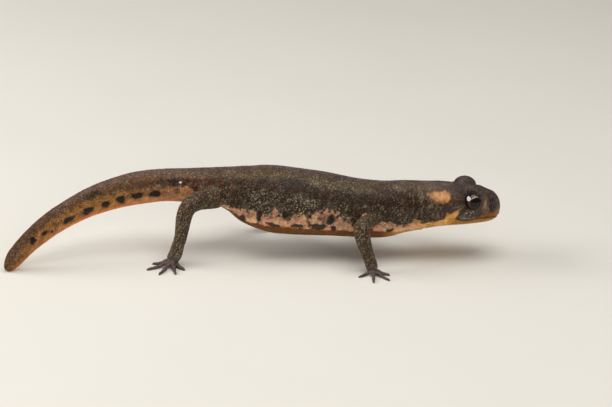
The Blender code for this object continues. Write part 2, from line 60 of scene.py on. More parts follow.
# The newt's measures, as in its solids, but with the lids and eyeballs a little larger.
# Landmarks of the body from snout to tail tip: the centre of each section at its widest level, the half
# width, the rise to the back and the fall to the belly, how square the section is above and below
# (2 is an ellipse, less is pointed), and how far the right side leans down, in degrees.
HALF_WIDTH, RISE, FALL, SQUARE_UP, SQUARE_DOWN, LEAN = range(3, 9)
BODY = np.array((
    (40.25, 2.32, 7.95, 2.25, 2.08, 1.78, 2.2, 2.3, 6),
    (38.6, 1.95, 8.10, 2.70, 2.78, 1.94, 2.3, 2.5, 6),
    (37.0, 1.60, 8.20, 3.10, 3.20, 2.10, 2.4, 2.6, 6),
    (35.2, 1.25, 8.30, 3.45, 3.50, 2.30, 2.4, 2.6, 6),
    (32.5, 0.80, 8.40, 3.85, 3.85, 2.50, 2.3, 2.5, 6),
    (30.0, 0.50, 8.40, 3.90, 4.05, 2.80, 2.3, 2.4, 5),
    (27.6, 0.25, 8.30, 3.55, 4.32, 3.42, 2.2, 2.2, 3),
    (24.6, 0.00, 8.05, 3.75, 4.62, 3.78, 2.2, 2.2, 2),
    (20.6, -0.30, 7.70, 4.30, 4.82, 4.25, 2.2, 2.3, 0),
    (17.3, -0.45, 7.60, 4.65, 5.18, 4.15, 2.1, 2.3, 0),
    (14.0, -0.50, 7.70, 4.95, 5.50, 4.10, 2.1, 2.3, 0),
    (10.0, -0.50, 7.95, 5.20, 5.90, 4.35, 2.1, 2.3, 0),
    (6.0, -0.40, 8.15, 5.30, 6.08, 4.58, 2.1, 2.2, 0),
    (2.8, -0.25, 8.45, 5.10, 6.02, 4.62, 2.1, 2.2, 0),
    (-0.5, -0.10, 9.10, 4.55, 5.40, 4.15, 2.1, 2.1, 0),
    (-3.0, 0.10, 9.80, 3.85, 4.40, 3.10, 2.1, 2.1, 0),
    (-5.8, 0.20, 10.40, 3.30, 3.37, 2.55, 2.0, 2.1, 0),
    (-8.6, 0.25, 10.55, 2.90, 2.92, 2.85, 2.0, 2.0, 0),
    (-11.0, 0.20, 10.50, 2.50, 2.85, 2.65, 1.9, 1.9, 0),
    (-13.5, -0.05, 10.55, 2.20, 2.80, 2.60, 1.8, 1.8, 0),
    (-18.1, -1.00, 10.40, 1.90, 2.65, 2.75, 1.7, 1.7, 0),
    (-21.8, -2.30, 9.90, 1.65, 2.50, 2.70, 1.6, 1.6, 0),
    (-25.8, -4.20, 8.90, 1.45, 2.30, 2.50, 1.6, 1.6, 0),
    (-29.5, -6.40, 7.45, 1.25, 2.10, 2.30, 1.6, 1.6, 0),
    (-32.6, -8.50, 5.75, 1.05, 2.02, 2.10, 1.6, 1.6, 0),
    (-35.1, -10.40, 3.80, 0.90, 1.92, 1.85, 1.6, 1.6, 0),
    (-37.1, -12.10, 1.80, 0.75, 1.78, 1.65, 1.7, 1.7, 0),
    (-38.4, -13.30, 0.30, 0.60, 1.50, 1.45, 1.8, 1.8, 0),
))
SNOUT_ROUND_SIDE = 1.6
SNOUT_ROUND_TOP = 2.8
TAIL_ROUND = 2.6
SPINE_RIDGE = 0.18
SPINE_RIDGE_START = 9.0
SPINE_RIDGE_FULL = 13.0
SPINE_RIDGE_ANGLE = radians(10)
VENT_AT = 48.6
VENT_LENGTH = 1.6
VENT_DEPTH = 0.35

EYE_AT = 5.55
EYE_OUT = 2.3
EYE_UP = 2.08
SOLID_EYE_UP = 2.0
LID_RADIUS = 2.12
LID_BULGE = 1.65
LID_RAISE = 0.38
LID_BACK = 0.45
GAZE_FORWARD = radians(-8)
GAZE_UP = radians(20)
NOSTRIL_AT = 1.05
NOSTRIL_ANGLE = radians(38)
# The line of the mouth: distance from the snout, and how far it lies below the widest level.
MOUTH_LINE = (
    (0.0, 0.85), (0.7, 0.78), (1.9, 0.6), (3.4, 0.5), (5.0, 0.66), (6.4, 0.8), (7.5, 0.7), (8.5, 0.2),
)
MOUTH_END = 8.6
MOUTH_POINTS = 90

# Limbs: joint positions from the root inside the body, through elbow and wrist or knee and ankle, to the
# ball of the hand or foot, then the headings of the digits, inner to outer, in degrees from +X to +Y.
Limb = namedtuple("Limb", "root bend cuff ball headings")
ARMS = (
    Limb((20.4, -2.6, 7.5), (17.3, -7.6, 7.2), (18.9, -8.4, 1.8), (19.4, -8.9, 0.7), (-12, -50, -92, -142)),
    Limb((20.3, 2.4, 7.4), (18.6, 7.4, 7.5), (20.3, 8.9, 1.8), (21.3, 9.4, 0.7), (-18, 18, 54, 98)),
)
RIGHT_TOES = (-44, -80, -114, -148, -184)
LEFT_TOES = (-12, 12, 36, 62, 98)
LEGS = (
    Limb((-6.0, -1.9, 9.7), (-10.4, -6.4, 9.1), (-11.6, -7.5, 3.6), (-12.6, -8.2, 1.2), RIGHT_TOES),
    Limb((-5.2, 2.2, 9.8), (-0.6, 6.6, 8.7), (1.0, 8.2, 3.2), (2.4, 9.1, 1.1), LEFT_TOES),
)
# Half widths and half thicknesses of a limb at even steps from its root to its ball, how high its digits
# leave the ball, and their lengths and radius.
LimbKind = namedtuple("LimbKind", "limbs widths thicknesses lift digit_lengths digit_radius is_leg")
LIMB_KINDS = (
    LimbKind(ARMS, (1.55, 1.3, 1.15, 1.2, 1.35, 1.3, 1.2, 1.15, 1.25, 1.2),
             (1.55, 1.3, 1.15, 1.2, 1.35, 1.3, 1.15, 0.9, 0.65, 0.5), 0.55,
             (1.5, 2.6, 2.9, 1.9), 0.4, 0),
    LimbKind(LEGS, (1.95, 1.7, 1.45, 1.4, 1.35, 1.25, 1.1, 1.15, 1.4, 1.35),
             (1.95, 1.7, 1.5, 1.45, 1.35, 1.25, 1.05, 0.9, 0.75, 0.55), 0.8,
             (1.5, 2.7, 3.4, 3.3, 1.8), 0.42, 1),
)
PALM_REACH = 0.45
PALM_DROP = 0.85
PALM_ROUND = 0.9
DIGIT_TAPER = 0.57
DIGIT_PRESS = 0.07
DIGIT_ROOT_SHARE = 0.35
DIGIT_TIP_START = 0.88
DIGIT_TIP_LENGTH = 0.122
DIGIT_TIP_LEAST = 0.12
DIGIT_WAIST = 0.12
DIGIT_FALL = 0.6
DIGIT_RING_CROWDING = 0.85
# How far round its middle line a hand or foot is taken to reach.
FOOT_REACH = 0.85
# A limb's stages run from 0 at its root through 1 at the bend and 2 at the cuff to 3 at its ball. These are
# the stages along a digit, which is marked from its fifth ring on.
DIGIT_STAGES = (3.2, 4)
DIGIT_MARKED_FROM = 4
# No limb lies nearer to the snout than this.
LIMBS_FROM = 12

# How finely the skin is meshed, and in how many rounds it is evened all over, hollowed round the roots of
# the limbs and round the lids, and evened again where it is refined.
BODY_RINGS = 430
BODY_SIDES = 110
BODY_RING_CROWDING = 0.16
BODY_FIRST_RING = 0.012
BODY_LAST_RING = 0.02
LIMB_RINGS = 61
LIMB_SIDES = 28
DIGIT_RINGS = 25
DIGIT_SIDES = 18
LID_RINGS = 40
LID_SIDES = 56
EYE_RINGS = 56
EYE_SIDES = 72
# How far from their poles the rings of the lids and of the eyeballs begin, as angles.
LID_POLE = 0.02
EYE_POLE = 0.004
VOXEL = 0.105
EVEN_ROUNDS = 5
ROOT_ROUNDS = 45
LID_ROUNDS = 14
REFINED_ROUNDS = 3
RELAX_STEP = 0.5
RELAX_BACK = -0.53

# The opening between the lids, as angles from the gaze to its edge, and the height of the lids' edge over
# the eyeball. The left upper lid is held a little lower.
OPENING_FORWARD = radians(-27)
OPENING_UP = {1: radians(8), -1: radians(19)}
OPENING_LONG = radians(57)
OPENING_HIGH = {1: radians(44), -1: radians(57)}
EYEBALL_RADIUS = 1.48
PUPIL_FORWARD = radians(9)
PUPIL_UP = radians(10)
LID_EDGE = 0.1
LID_SINK = 0.14
LID_REACH = 3.1
UPPER_LID_HEIGHT = 0.12
CORNEA_BULGE = 0.06
CORNEA_ANGLE = radians(34)

# Ridges, and grooves as ridges with a height below 0: the height in millimetres, the middle and the width,
# across the mouth's line, by distance from a nostril or from the throat fold, and by the share of the way to
# the lids' edge. The joints of a digit are shares of its thickness, by the share of the way along it.
MOUTH_GROOVE = ((-0.17, 0, 0.085),)
LIPS = ((0.085, 0.3, 0.2), (0.07, -0.27, 0.17))
NOSTRIL = ((-0.2, 0, 0.16), (0.035, 0.34, 0.12))
THROAT_FOLD = ((-0.13, 0, 0.2), (0.07, 0.5, 0.3))
THROAT_FOLD_AT = 13.0
LID_ROLL = ((0.07, 1.12, 0.09),)
LID_CREASE = ((-0.06, 1.34, 0.05),)
DIGIT_JOINTS = ((0.07, 0.58, 0.07), (0.05, 0.83, 0.06))

# Grooves side by side: how deep, how far apart and how sharp they are, how they slant with the degrees up the
# side, and how they sway.
Grooves = namedtuple("Grooves", "depth spacing sharpness slant sway")
RIB_GROOVES = Grooves(0.045, 1.95, 3, 0.02, 0.35)
TAIL_GROOVES = Grooves(0.035, 1.65, 3, 0.013, 0.25)
NECK_FOLDS = Grooves(0.04, 1.1, 2, 0.03, 0.5)
ELBOW_CREASES = Grooves(0.03, 0.16, 1, 0, 0)
WRIST_CREASES = Grooves(0.03, 0.22, 1, 0, 0)
CREASE_REACH = 0.2

# Places on the body's side: distance from the snout and how far it reaches along, degrees up the side and how
# far it reaches up and down.
EYE_SWELLING = (10.6, 1.7, 36, 22)
SNOUT_RIDGE = (3.5, 0.8, 62, 18)
VENT_SLIT = (VENT_AT, 0.9, -90, 5)
HIP = (47.5, 3.5, 30, 22)
BEHIND_HIP = (53.0, 3.2, 34, 9)
UNDER_EYE = (6.6, 1.1, 9, 9)
BEHIND_EYE = (8.2, 0.8, 26, 10)
BEFORE_EYE = (3.4, 0.65, 26, 18)
BESIDE_NOSTRIL = (2.3, 0.6, 29, 24)

# The camera stands to the newt's right, a little above it, and leans with the slope of the photo's ground.
LENS = 130.0
SENSOR = 36.0
CAMERA_DISTANCE = 356.45
CAMERA_AZIMUTH = radians(-3)
CAMERA_ELEVATION = radians(20)
CAMERA_ROLL = radians(3)
LOOK_AT = (8.6, 0.0, 8.28)


def smooth(value, low, high):
    """0 up to low and 1 from high on, with a soft step between."""
    u = np.clip((np.asarray(value, float) - low) / (high - low), 0, 1)
    return u * u * (3 - 2 * u)


def bump(value, middle, width):
    """A soft hill of height 1 at the middle."""
    return np.exp(-(((value - middle) / width) ** 2))


def ridges(value, rows):
    """The sum of soft hills, each as (height, middle, width)."""
    return sum(height * bump(value, middle, width) for height, middle, width in rows)


def between(value, start, full, fade, end):
    """1 from full to fade, and 0 before start and after end."""
    return smooth(value, start, full) * smooth(end - value, 0, end - fade)


def unit(vectors):
    return vectors / np.linalg.norm(vectors, axis=-1, keepdims=True)


def lengths(vectors):
    return np.linalg.norm(vectors, axis=1)


def circle(sides):
    """Even angles round a circle."""
    return np.arange(sides) * 2 * pi / sides


def running_length(points):
    """The distance to each point along the line through them."""
    return np.concatenate([[0.0], np.cumsum(lengths(np.diff(points, axis=0)))])


def hermite(at, knots, values):
    """Smooth curve through values at knots, read at the given places."""
    slopes = np.gradient(values, knots, axis=0)
    k = np.clip(np.searchsorted(knots, at, side="right") - 1, 0, len(knots) - 2)
    span = knots[k + 1] - knots[k]
    u = (at - knots[k]) / span
    shape = (len(u),) + (1,) * (values.ndim - 1)
    u, span = u.reshape(shape), span.reshape(shape)
    start = (2 * u**3 - 3 * u**2 + 1) * values[k] + (u**3 - 2 * u**2 + u) * span * slopes[k]
    end = (3 * u**2 - 2 * u**3) * values[k + 1] + (u**3 - u**2) * span * slopes[k + 1]
    return start + end


def end_round(at, length, snout):
    """How full the section is near the rounded ends of the body, from 0 to 1."""
    front = np.clip(1 - at / snout, 0, 1)
    back = np.clip(1 - (length - at) / TAIL_ROUND, 0, 1)
    return np.sqrt(np.clip(1 - front**2, 0, 1)) * np.sqrt(np.clip(1 - back**2, 0, 1))


def nearest_of(points, marks):
    """For each point, the number of the nearest mark and the distance to it."""
    which = np.empty(len(points), int)
    square = (marks**2).sum(axis=1)
    chunk = 20000
    for start in range(0, len(points), chunk):
        part = points[start:start + chunk]
        which[start:start + chunk] = (square - 2 * part @ marks.T).argmin(axis=1)
    return which, lengths(points - marks[which])


class Body:
    """The body's centreline and sections, read by distance from the snout."""

    def __init__(self):
        self.knots = running_length(BODY[:, :3])
        self.length = self.knots[-1]

    def frame(self, at):
        """The landmarks' values and the forward, left and up directions there."""
        at = np.atleast_1d(np.asarray(at, float))
        read = hermite(at, self.knots, BODY)
        step = 0.05
        ahead, behind = (
            hermite(np.clip(at + move, 0, self.length), self.knots, BODY)[:, :3] for move in (-step, step)
        )
        forward = unit(ahead - behind)
        left = unit(np.cross([0.0, 0.0, 1.0], forward))
        up = np.cross(forward, left)
        lean = np.radians(read[:, LEAN, None])
        left, up = left * np.cos(lean) + up * np.sin(lean), up * np.cos(lean) - left * np.sin(lean)
        return read, forward, left, up

    def section(self, read, at, above, least=0.0):
        """Half width, half height and squareness of the sections, above or below their widest level. Their
        roundings at the body's ends don't fall under the least share."""
        square = np.where(above, read[..., SQUARE_UP], read[..., SQUARE_DOWN])
        height = np.where(above, read[..., RISE], read[..., FALL])
        side_round = np.maximum(end_round(at, self.length, SNOUT_ROUND_SIDE), least)
        top_round = np.maximum(end_round(at, self.length, SNOUT_ROUND_TOP), least)
        return read[..., HALF_WIDTH] * top_round, height * side_round, square

    def points(self, at, angles):
        """Surface points, one row for each place and one column for each angle from the left side up."""
        at = np.atleast_1d(np.asarray(at, float))
        read, _, left, up = (rows[:, None, :] for rows in self.frame(at))
        at = at[:, None]
        c, s = np.cos(angles), np.sin(angles)
        width, height, square = self.section(read, at, s >= 0)
        out = width * np.sign(c) * np.abs(c) ** (2 / square)
        high = height * np.sign(s) * np.abs(s) ** (2 / square)
        ridge = SPINE_RIDGE * bump(angles, pi / 2, SPINE_RIDGE_ANGLE)
        ridge = ridge * smooth(at, SPINE_RIDGE_START, SPINE_RIDGE_FULL)
        vent = VENT_DEPTH * bump(at, VENT_AT, VENT_LENGTH) * np.clip(-s, 0, 1) ** 3
        high = high + ridge * end_round(at, self.length, SNOUT_ROUND_SIDE) - vent
        return read[..., :3] + left * out[..., None] + up * high[..., None]

    def skin_point(self, at, angle, side):
        """The surface point at that angle up from that side."""
        return self.points(at, np.array([angle if side == 1 else pi - angle]))[0, 0]

    def place(self, at, out, high):
        """The point that far to the left of and above the centreline."""
        read, _, left, up = self.frame(at)
        return read[0, :3] + left[0] * out + up[0] * high

    def locate(self, points):
        """Where points are: distance from the snout, degrees up from the level of the widest part, side
        (1 left, -1 right), and how far out of the body they stand, in millimetres."""
        stations = np.linspace(0, self.length, 500)
        which, _ = nearest_of(points, hermite(stations, self.knots, BODY)[:, :3])
        at = stations[which]
        for _ in range(3):
            read, forward, _, _ = self.frame(at)
            at = np.clip(at - ((points - read[:, :3]) * forward).sum(axis=1), 0, self.length)
        read, _, left, up = self.frame(at)
        offset = points - read[:, :3]
        out, high = (offset * left).sum(axis=1), (offset * up).sum(axis=1)
        width, height, square = self.section(read, at, high >= 0, 0.05)
        across, tall = np.abs(out) / width, np.abs(high) / height
        fullness = np.maximum((across**square + tall**square) ** (1 / square), 0.01)
        angle = np.arctan2(tall ** (square / 2), across ** (square / 2))
        clear = (1 - 1 / fullness) * np.hypot(out, high)
        return at, np.degrees(angle) * np.where(high >= 0, 1, -1), np.where(out >= 0, 1, -1), clear


def random_at(cell, seed):
    """A repeatable number from 0 to 1 for each whole-number place."""
    mixed = (cell[:, 0] * 73856093) ^ (cell[:, 1] * 19349663) ^ (cell[:, 2] * 83492791) ^ (seed * 26544357)
    mixed = mixed & 0xFFFFFFFF
    for _ in range(2):
        mixed = ((mixed ^ (mixed >> 16)) * 0x45D9F3B) & 0xFFFFFFFF
    return (mixed ^ (mixed >> 16)) / 2**32


def noise(points, size, seed, octaves=2):
    """Smooth noise from about -1 to 1, with lumps of that size and finer ones on them."""
    total, weight = 0.0, 0.0
    for octave in range(octaves):
        at = points / size * 2**octave + 17.3 * octave
        home = np.floor(at).astype(np.int64)
        part = at - home
        ease = part * part * (3 - 2 * part)
        level = 0.0
        for corner in product((0, 1), repeat=3):
            share = np.prod(np.where(corner, ease, 1 - ease), axis=1)
            level = level + share * random_at(home + corner, seed + octave)
        total = total + (level * 2 - 1) / 1.6**octave
        weight += 1 / 1.6**octave
    return total / weight * 1.6


def grains(points, size, seed):
    """Rounded grains scattered that far apart: the height of each, 1 at its middle, and its own number."""
    at = points / size
    home = np.floor(at).astype(np.int64)
    nearest, number = np.full(len(points), 9.0), np.zeros(len(points))
    for step in product((-1, 0, 1), repeat=3):
        cell = home + step
        spot = cell + np.stack([random_at(cell, seed + axis) for axis in range(3)], axis=1)
        gap = lengths(spot - at)
        closer = gap < nearest
        nearest = np.where(closer, gap, nearest)
        number = np.where(closer, random_at(cell, seed + 3), number)
    return smooth(0.62 - nearest, 0, 0.5), number


def tube(rings):
    """Points and faces of a closed tube through rings of points, with flat caps."""
    count, sides = len(rings), len(rings[0])
    here = np.arange(count * sides).reshape(count, sides)
    beside = np.roll(here, -1, axis=1)
    walls = np.stack([here[:-1], beside[:-1], beside[1:], here[1:]], axis=-1).reshape(-1, 4)
    return np.concatenate(rings), walls.tolist() + [here[0, ::-1].tolist(), here[-1].tolist()]


def eye_frame(body, side, turn_forward=GAZE_FORWARD, turn_up=GAZE_UP):
    """Centre of the eyeball, a direction out of the head turned forward and up by those angles, and two
    directions across it; side is 1 on the left."""
    _, forward, left, up = (v[0] for v in body.frame(EYE_AT))
    centre = body.place(EYE_AT, side * EYE_OUT, EYE_UP)
    level = side * left * cos(turn_forward) + forward * sin(turn_forward)
    gaze = level * cos(turn_up) + up * sin(turn_up)
    across = unit(np.cross(up, gaze))
    return centre, gaze, across, np.cross(gaze, across)


def body_shape(body):
    """The body's tube, with its rings closer together at both ends."""
    share = np.linspace(0, 1, BODY_RINGS)
    places = body.length * (share - BODY_RING_CROWDING * np.sin(2 * pi * share) / pi)
    places = np.clip(places, BODY_FIRST_RING, body.length - BODY_LAST_RING)
    return tube(list(body.points(places, circle(BODY_SIDES))))


def lid_dome(body, side):
    """The closed lids of an eye, a flattened ball that stands a little above and behind the eyeball."""
    centre, gaze, across, high = eye_frame(body, side)
    centre = centre + high * LID_RAISE - body.frame(EYE_AT)[1][0] * LID_BACK
    angles = circle(LID_SIDES)
    flat = (np.outer(np.cos(angles), across) + np.outer(np.sin(angles), high)) * LID_RADIUS
    turns = np.linspace(LID_POLE, pi - LID_POLE, LID_RINGS)
    return tube([centre + flat * sin(turn) + gaze * LID_BULGE * cos(turn) for turn in turns])


def limb_rings(limb, kind):
    """Rings of points round the limb's line from root to ball, which is carried on a little so that the palm
    stays level; also the line itself, its mean radius and its stage."""
    joints = np.array([limb.root, limb.bend, limb.cuff, limb.ball], float)
    palm = joints[-1] + (joints[-1] - joints[-2]) * [1, 1, 0] * PALM_REACH
    palm[2] = joints[-1][2] * PALM_DROP
    joints = np.vstack([joints, palm])
    knots = running_length(joints)
    places = np.linspace(0, knots[-1], LIMB_RINGS)
    path = hermite(places, knots, joints)
    sections = np.stack([kind.widths, kind.thicknesses], axis=1)
    size = hermite(np.linspace(0, 1, LIMB_RINGS), np.linspace(0, 1, len(sections)), sections)
    past_round = np.clip(1 - (knots[-1] - places) / PALM_ROUND, 0, 1)
    size = size * np.sqrt(np.clip(1 - past_round**2, 0.02, 1))[:, None]
    ahead = unit(np.gradient(path, axis=0))
    normals = np.zeros_like(path)
    normal = np.array([0.0, 0.0, 1.0])
    for i in reversed(range(LIMB_RINGS)):
        normal = unit(normal - ahead[i] * (normal @ ahead[i]))
        normals[i] = normal
    across = np.cross(ahead, normals)
    angles = circle(LIMB_SIDES)[:, None]
    rings = [
        path[i] + across[i] * size[i, 0] * np.cos(angles) + normals[i] * size[i, 1] * np.sin(angles)
        for i in range(LIMB_RINGS)
    ]
    return rings, path, size.mean(axis=1), np.interp(places, knots[:4], (0, 1, 2, 3))


def digit_rings(root, course, length, radius):
    """One finger or toe, with its joints a little thicker than its bones; also its middle line."""
    across = np.array([-course[1], course[0], 0.0])
    angles = circle(DIGIT_SIDES)[:, None]
    rings, line = [], []
    for u in np.linspace(0, 1, DIGIT_RINGS) ** DIGIT_RING_CROWDING:
        fullness = 1 - DIGIT_WAIST * smooth(u, 0, 0.4) + ridges(u, DIGIT_JOINTS)
        tip = np.sqrt(max(1 - max(0, (u - DIGIT_TIP_START) / DIGIT_TIP_LENGTH) ** 2, 0.0))
        r = radius * (1 - (1 - DIGIT_TAPER) * u) * fullness * max(tip, DIGIT_TIP_LEAST)
        centre = root + course * length * u
        centre[2] = root[2] + (r - DIGIT_PRESS - root[2]) * smooth(u, 0, DIGIT_FALL)
        rings.append(centre + across * r * np.cos(angles) + np.array([0, 0, r]) * np.sin(angles))
        line.append(centre)
    return rings, np.array(line)


# A sample along the limbs: where it is, how thick the limb is there, how far along it lies from the root
# (0) through the bend (1) and the cuff (2) to the digit tips (3 to 4), and whether the limb is a leg.
LimbMarks = namedtuple("LimbMarks", "points radius stage leg")


def gather_limbs():
    """Tubes of the limbs and digits, and the marks that tell the skin where on a limb it is."""
    shapes, marks = [], []
    for kind in LIMB_KINDS:
        palm = kind.widths[-2]
        for limb in kind.limbs:
            rings, path, radius, stage = limb_rings(limb, kind)
            shapes.append(tube(rings))
            marks.append((path, np.maximum(radius, FOOT_REACH), stage, np.full(len(path), kind.is_leg)))
            for heading, length in zip(limb.headings, kind.digit_lengths):
                course = np.array([cos(radians(heading)), sin(radians(heading)), 0.0])
                root = np.array(limb.ball) + DIGIT_ROOT_SHARE * palm * course
                root[2] = kind.lift
                reach = length + palm * (1 - DIGIT_ROOT_SHARE)
                rings, line = digit_rings(root, course, reach, kind.digit_radius)
                shapes.append(tube(rings))
                line = line[DIGIT_MARKED_FROM:]
                count = len(line)
                marks.append((line, np.full(count, FOOT_REACH), np.linspace(*DIGIT_STAGES, count),
                              np.full(count, kind.is_leg)))
    return shapes, LimbMarks(*(np.concatenate(column) for column in zip(*marks)))


# The mouth's line from corner to corner: its points, the direction up there and the distance from the snout.
Mouth = namedtuple("Mouth", "points ups at")


def mouth_path(body):
    line = np.array(MOUTH_LINE)
    chin = line[0, 1] / body.frame(0.5)[0][0, FALL]
    front = SNOUT_ROUND_SIDE * (1 - np.sqrt(1 - chin**2))
    places = front + (line[-1, 0] - front) * np.linspace(1, 0, MOUTH_POINTS) ** 1.7
    depths = hermite(places, line[:, 0], line[:, 1])
    halves = []
    for side in SIDES:
        half = []
        for at, depth in zip(places, depths):
            read, _, _, up = body.frame(at)
            fall = read[0, FALL] * end_round(at, body.length, SNOUT_ROUND_SIDE)
            share = 1.0 if at == front else min(max(depth, 0.0) / fall, 1.0)
            angle = -np.arcsin(share ** (read[0, SQUARE_DOWN] / 2))
            half.append((body.skin_point(at, angle, side), up[0], at))
        halves.append(half)
    return Mouth(*(np.array(column) for column in zip(*(halves[0] + halves[1][-2::-1]))))


def mouth_near(mouth, points):
    """The distance from the snout of the nearest part of the mouth's line, and how far each point lies from
    the line and above it."""
    near, gap = nearest_of(points, mouth.points)
    return mouth.at[near], gap, ((points - mouth.points[near]) * mouth.ups[near]).sum(axis=1)


def ahead_of(body, points, at):
    """The numbers of the points further forward than that distance from the snout."""
    return np.flatnonzero(points[:, 0] > body.frame(at)[0][0, 0])


def nostril_gap(body, points, side):
    return lengths(points - body.skin_point(NOSTRIL_AT, NOSTRIL_ANGLE, side))


def add_object(name, data):
    """An object of a mesh, a lamp or a lens, put into the scene."""
    made = bpy.data.objects.new(name, data)
    bpy.context.scene.collection.objects.link(made)
    return made


def add_shape(name, points, faces):
    mesh = bpy.data.meshes.new(name)
    mesh.from_pydata([tuple(p) for p in points], [], faces)
    return add_object(name, mesh)


def fused_skin(shapes):
    """One even skin of small faces round all the closed shapes."""
    points = np.concatenate([shape[0] for shape in shapes])
    faces, start = [], 0
    for places, corners in shapes:
        faces += [tuple(corner + start for corner in face) for face in corners]
        start += len(places)
    skin = add_shape("skin", points, faces)
    raw = skin.data
    remesh = skin.modifiers.new("fuse", "REMESH")
    remesh.mode = "VOXEL"
    remesh.voxel_size = VOXEL
    bpy.context.view_layer.update()
    graph = bpy.context.evaluated_depsgraph_get()
    fused = bpy.data.meshes.new_from_object(skin.evaluated_get(graph), depsgraph=graph)
    skin.modifiers.clear()
    skin.data = fused
    bpy.data.meshes.remove(raw)
    return skin


def read_rows(items, name):
    """Three numbers of each item of a mesh, such as the places of its points."""
    values = np.empty(len(items) * 3, np.float32)
    items.foreach_get(name, values)
    return values.reshape(-1, 3).astype(float)


def read_points(mesh):
    return read_rows(mesh.vertices, "co")


def write_points(mesh, points):
    mesh.vertices.foreach_set("co", np.ascontiguousarray(points, np.float32).ravel())
    mesh.update()


def relax(mesh, points, rounds, weight, keep_volume=True):
    """Evens out the surface by drawing each point towards its neighbours by its weight. With keep_volume,
    each round is followed by a slightly larger step back, so that the form doesn't shrink."""
    edges = np.empty(len(mesh.edges) * 2, np.int32)
    mesh.edges.foreach_get("vertices", edges)
    first, second = edges[0::2], edges[1::2]
    count = len(points)
    degree = np.bincount(first, minlength=count) + np.bincount(second, minlength=count)
    for turn in range(rounds * (2 if keep_volume else 1)):
        step = RELAX_BACK if keep_volume and turn % 2 else RELAX_STEP
        middle = np.empty_like(points)
        for axis in range(3):
            along_first = np.bincount(first, points[second, axis], count)
            middle[:, axis] = (along_first + np.bincount(second, points[first, axis], count)) / degree
        points = points + (middle - points) * (step * weight)[:, None]
    return points


def refine(mesh, wanted):
    """Splits each face whose corners are all wanted into four."""
    work = bmesh.new()
    work.from_mesh(mesh)
    work.verts.ensure_lookup_table()
    faces = [face for face in work.faces if all(wanted[vert.index] for vert in face.verts)]
    edges = list({edge for face in faces for edge in face.edges})
    bmesh.ops.subdivide_edges(work, edges=edges, cuts=1, use_grid_fill=True)
    work.to_mesh(mesh)
    work.free()


# Where each point of the skin lies on the body, how much it is on a limb and where there, and how far it is
# from the middle of the nearer eye.
Place = namedtuple("Place", "points at degrees side clear on_limb stage leg face_gap")


def find_place(body, marks, points):
    at, degrees, side, clear = body.locate(points)
    which, gap = nearest_of(points, marks.points)
    near_limb = smooth(2.0 - gap / marks.radius[which], 0, 0.5)
    face_gap = np.min([lengths(points - eye_frame(body, eye)[0]) for eye in SIDES], axis=0)
    on_limb = near_limb * smooth(clear, 0.05, 0.9) * (at > LIMBS_FROM)
    return Place(points, at, degrees, side, clear, on_limb, marks.stage[which], marks.leg[which], face_gap)


def eye_coordinates(body, points, side):
    """The eye's centre, and for each point: the direction and distance from there, how far out it lies from
    the opening's middle (1 on the lids' edge), and how high in it."""
    centre, gaze, across, high = eye_frame(body, side, OPENING_FORWARD, OPENING_UP[side])
    offset = points - centre
    radius = np.maximum(lengths(offset), 0.01)
    course = offset / radius[:, None]
    turn = np.arctan2(course @ high, course @ across)
    edge_angle = 1 / np.hypot(np.cos(turn) / OPENING_LONG, np.sin(turn) / OPENING_HIGH[side])
    share = np.arccos(np.clip(course @ gaze, -1, 1)) / edge_angle
    return centre, course, radius, share, course @ high


def open_lids(body, points):
    """Sinks the skin inside the eyeball within the opening and rolls the lids' edges over it."""
    for side in SIDES:
        centre, course, radius, share, high = eye_coordinates(body, points, side)
        edge = EYEBALL_RADIUS + LID_EDGE + ridges(share, LID_ROLL) + UPPER_LID_HEIGHT * np.clip(high, 0, 1)
        under = EYEBALL_RADIUS - LID_SINK
        rolled = under + (edge - under) * smooth(share, 0.9, 1.03)
        wanted = rolled + (np.maximum(radius, rolled) - rolled) * smooth(share, 1.05, 1.3)
        # The crease above the upper lid and below the lower one.
        wanted = wanted + ridges(share, LID_CREASE) * smooth(np.abs(high), 0.3, 0.7)
        inside = ((share < 1.6) & (radius < LID_REACH))[:, None]
        points = np.where(inside, centre + course * wanted[:, None], points)
    return points


def face_lift(body, mouth, points):
    """How far the lips, the line of the mouth and the nostrils lift or sink the skin."""
    lift = np.zeros(len(points))
    head = ahead_of(body, points, 10.0)
    mouth_at, gap, above = mouth_near(mouth, points[head])
    aside = np.sqrt(np.maximum(gap**2 - above**2, 0))
    groove = ridges(above, MOUTH_GROOVE) * bump(aside, 0, 0.35) * smooth(MOUTH_END - mouth_at, 0, 0.5)
    lips = ridges(above, LIPS) * smooth(MOUTH_END - mouth_at, 0, 1.6)
    lift[head] = (groove + lips) * smooth(1.2 - gap, 0, 0.6)
    for side in SIDES:
        lift += ridges(nostril_gap(body, points, side), NOSTRIL)
    return lift


def groove_depth(grooves, at, degrees=0.0, sway=0.0):
    """How deep the grooves are, which follow each other along the places at."""
    course = at + grooves.slant * degrees + grooves.sway * sway
    return grooves.depth * np.clip(np.cos(course * 2 * pi / grooves.spacing), 0, 1) ** grooves.sharpness


def hill(place, where):
    """A soft hill of height 1 at one of the places on the body's side."""
    middle, reach, degrees, spread = where
    return bump(place.at, middle, reach) * bump(place.degrees, degrees, spread)


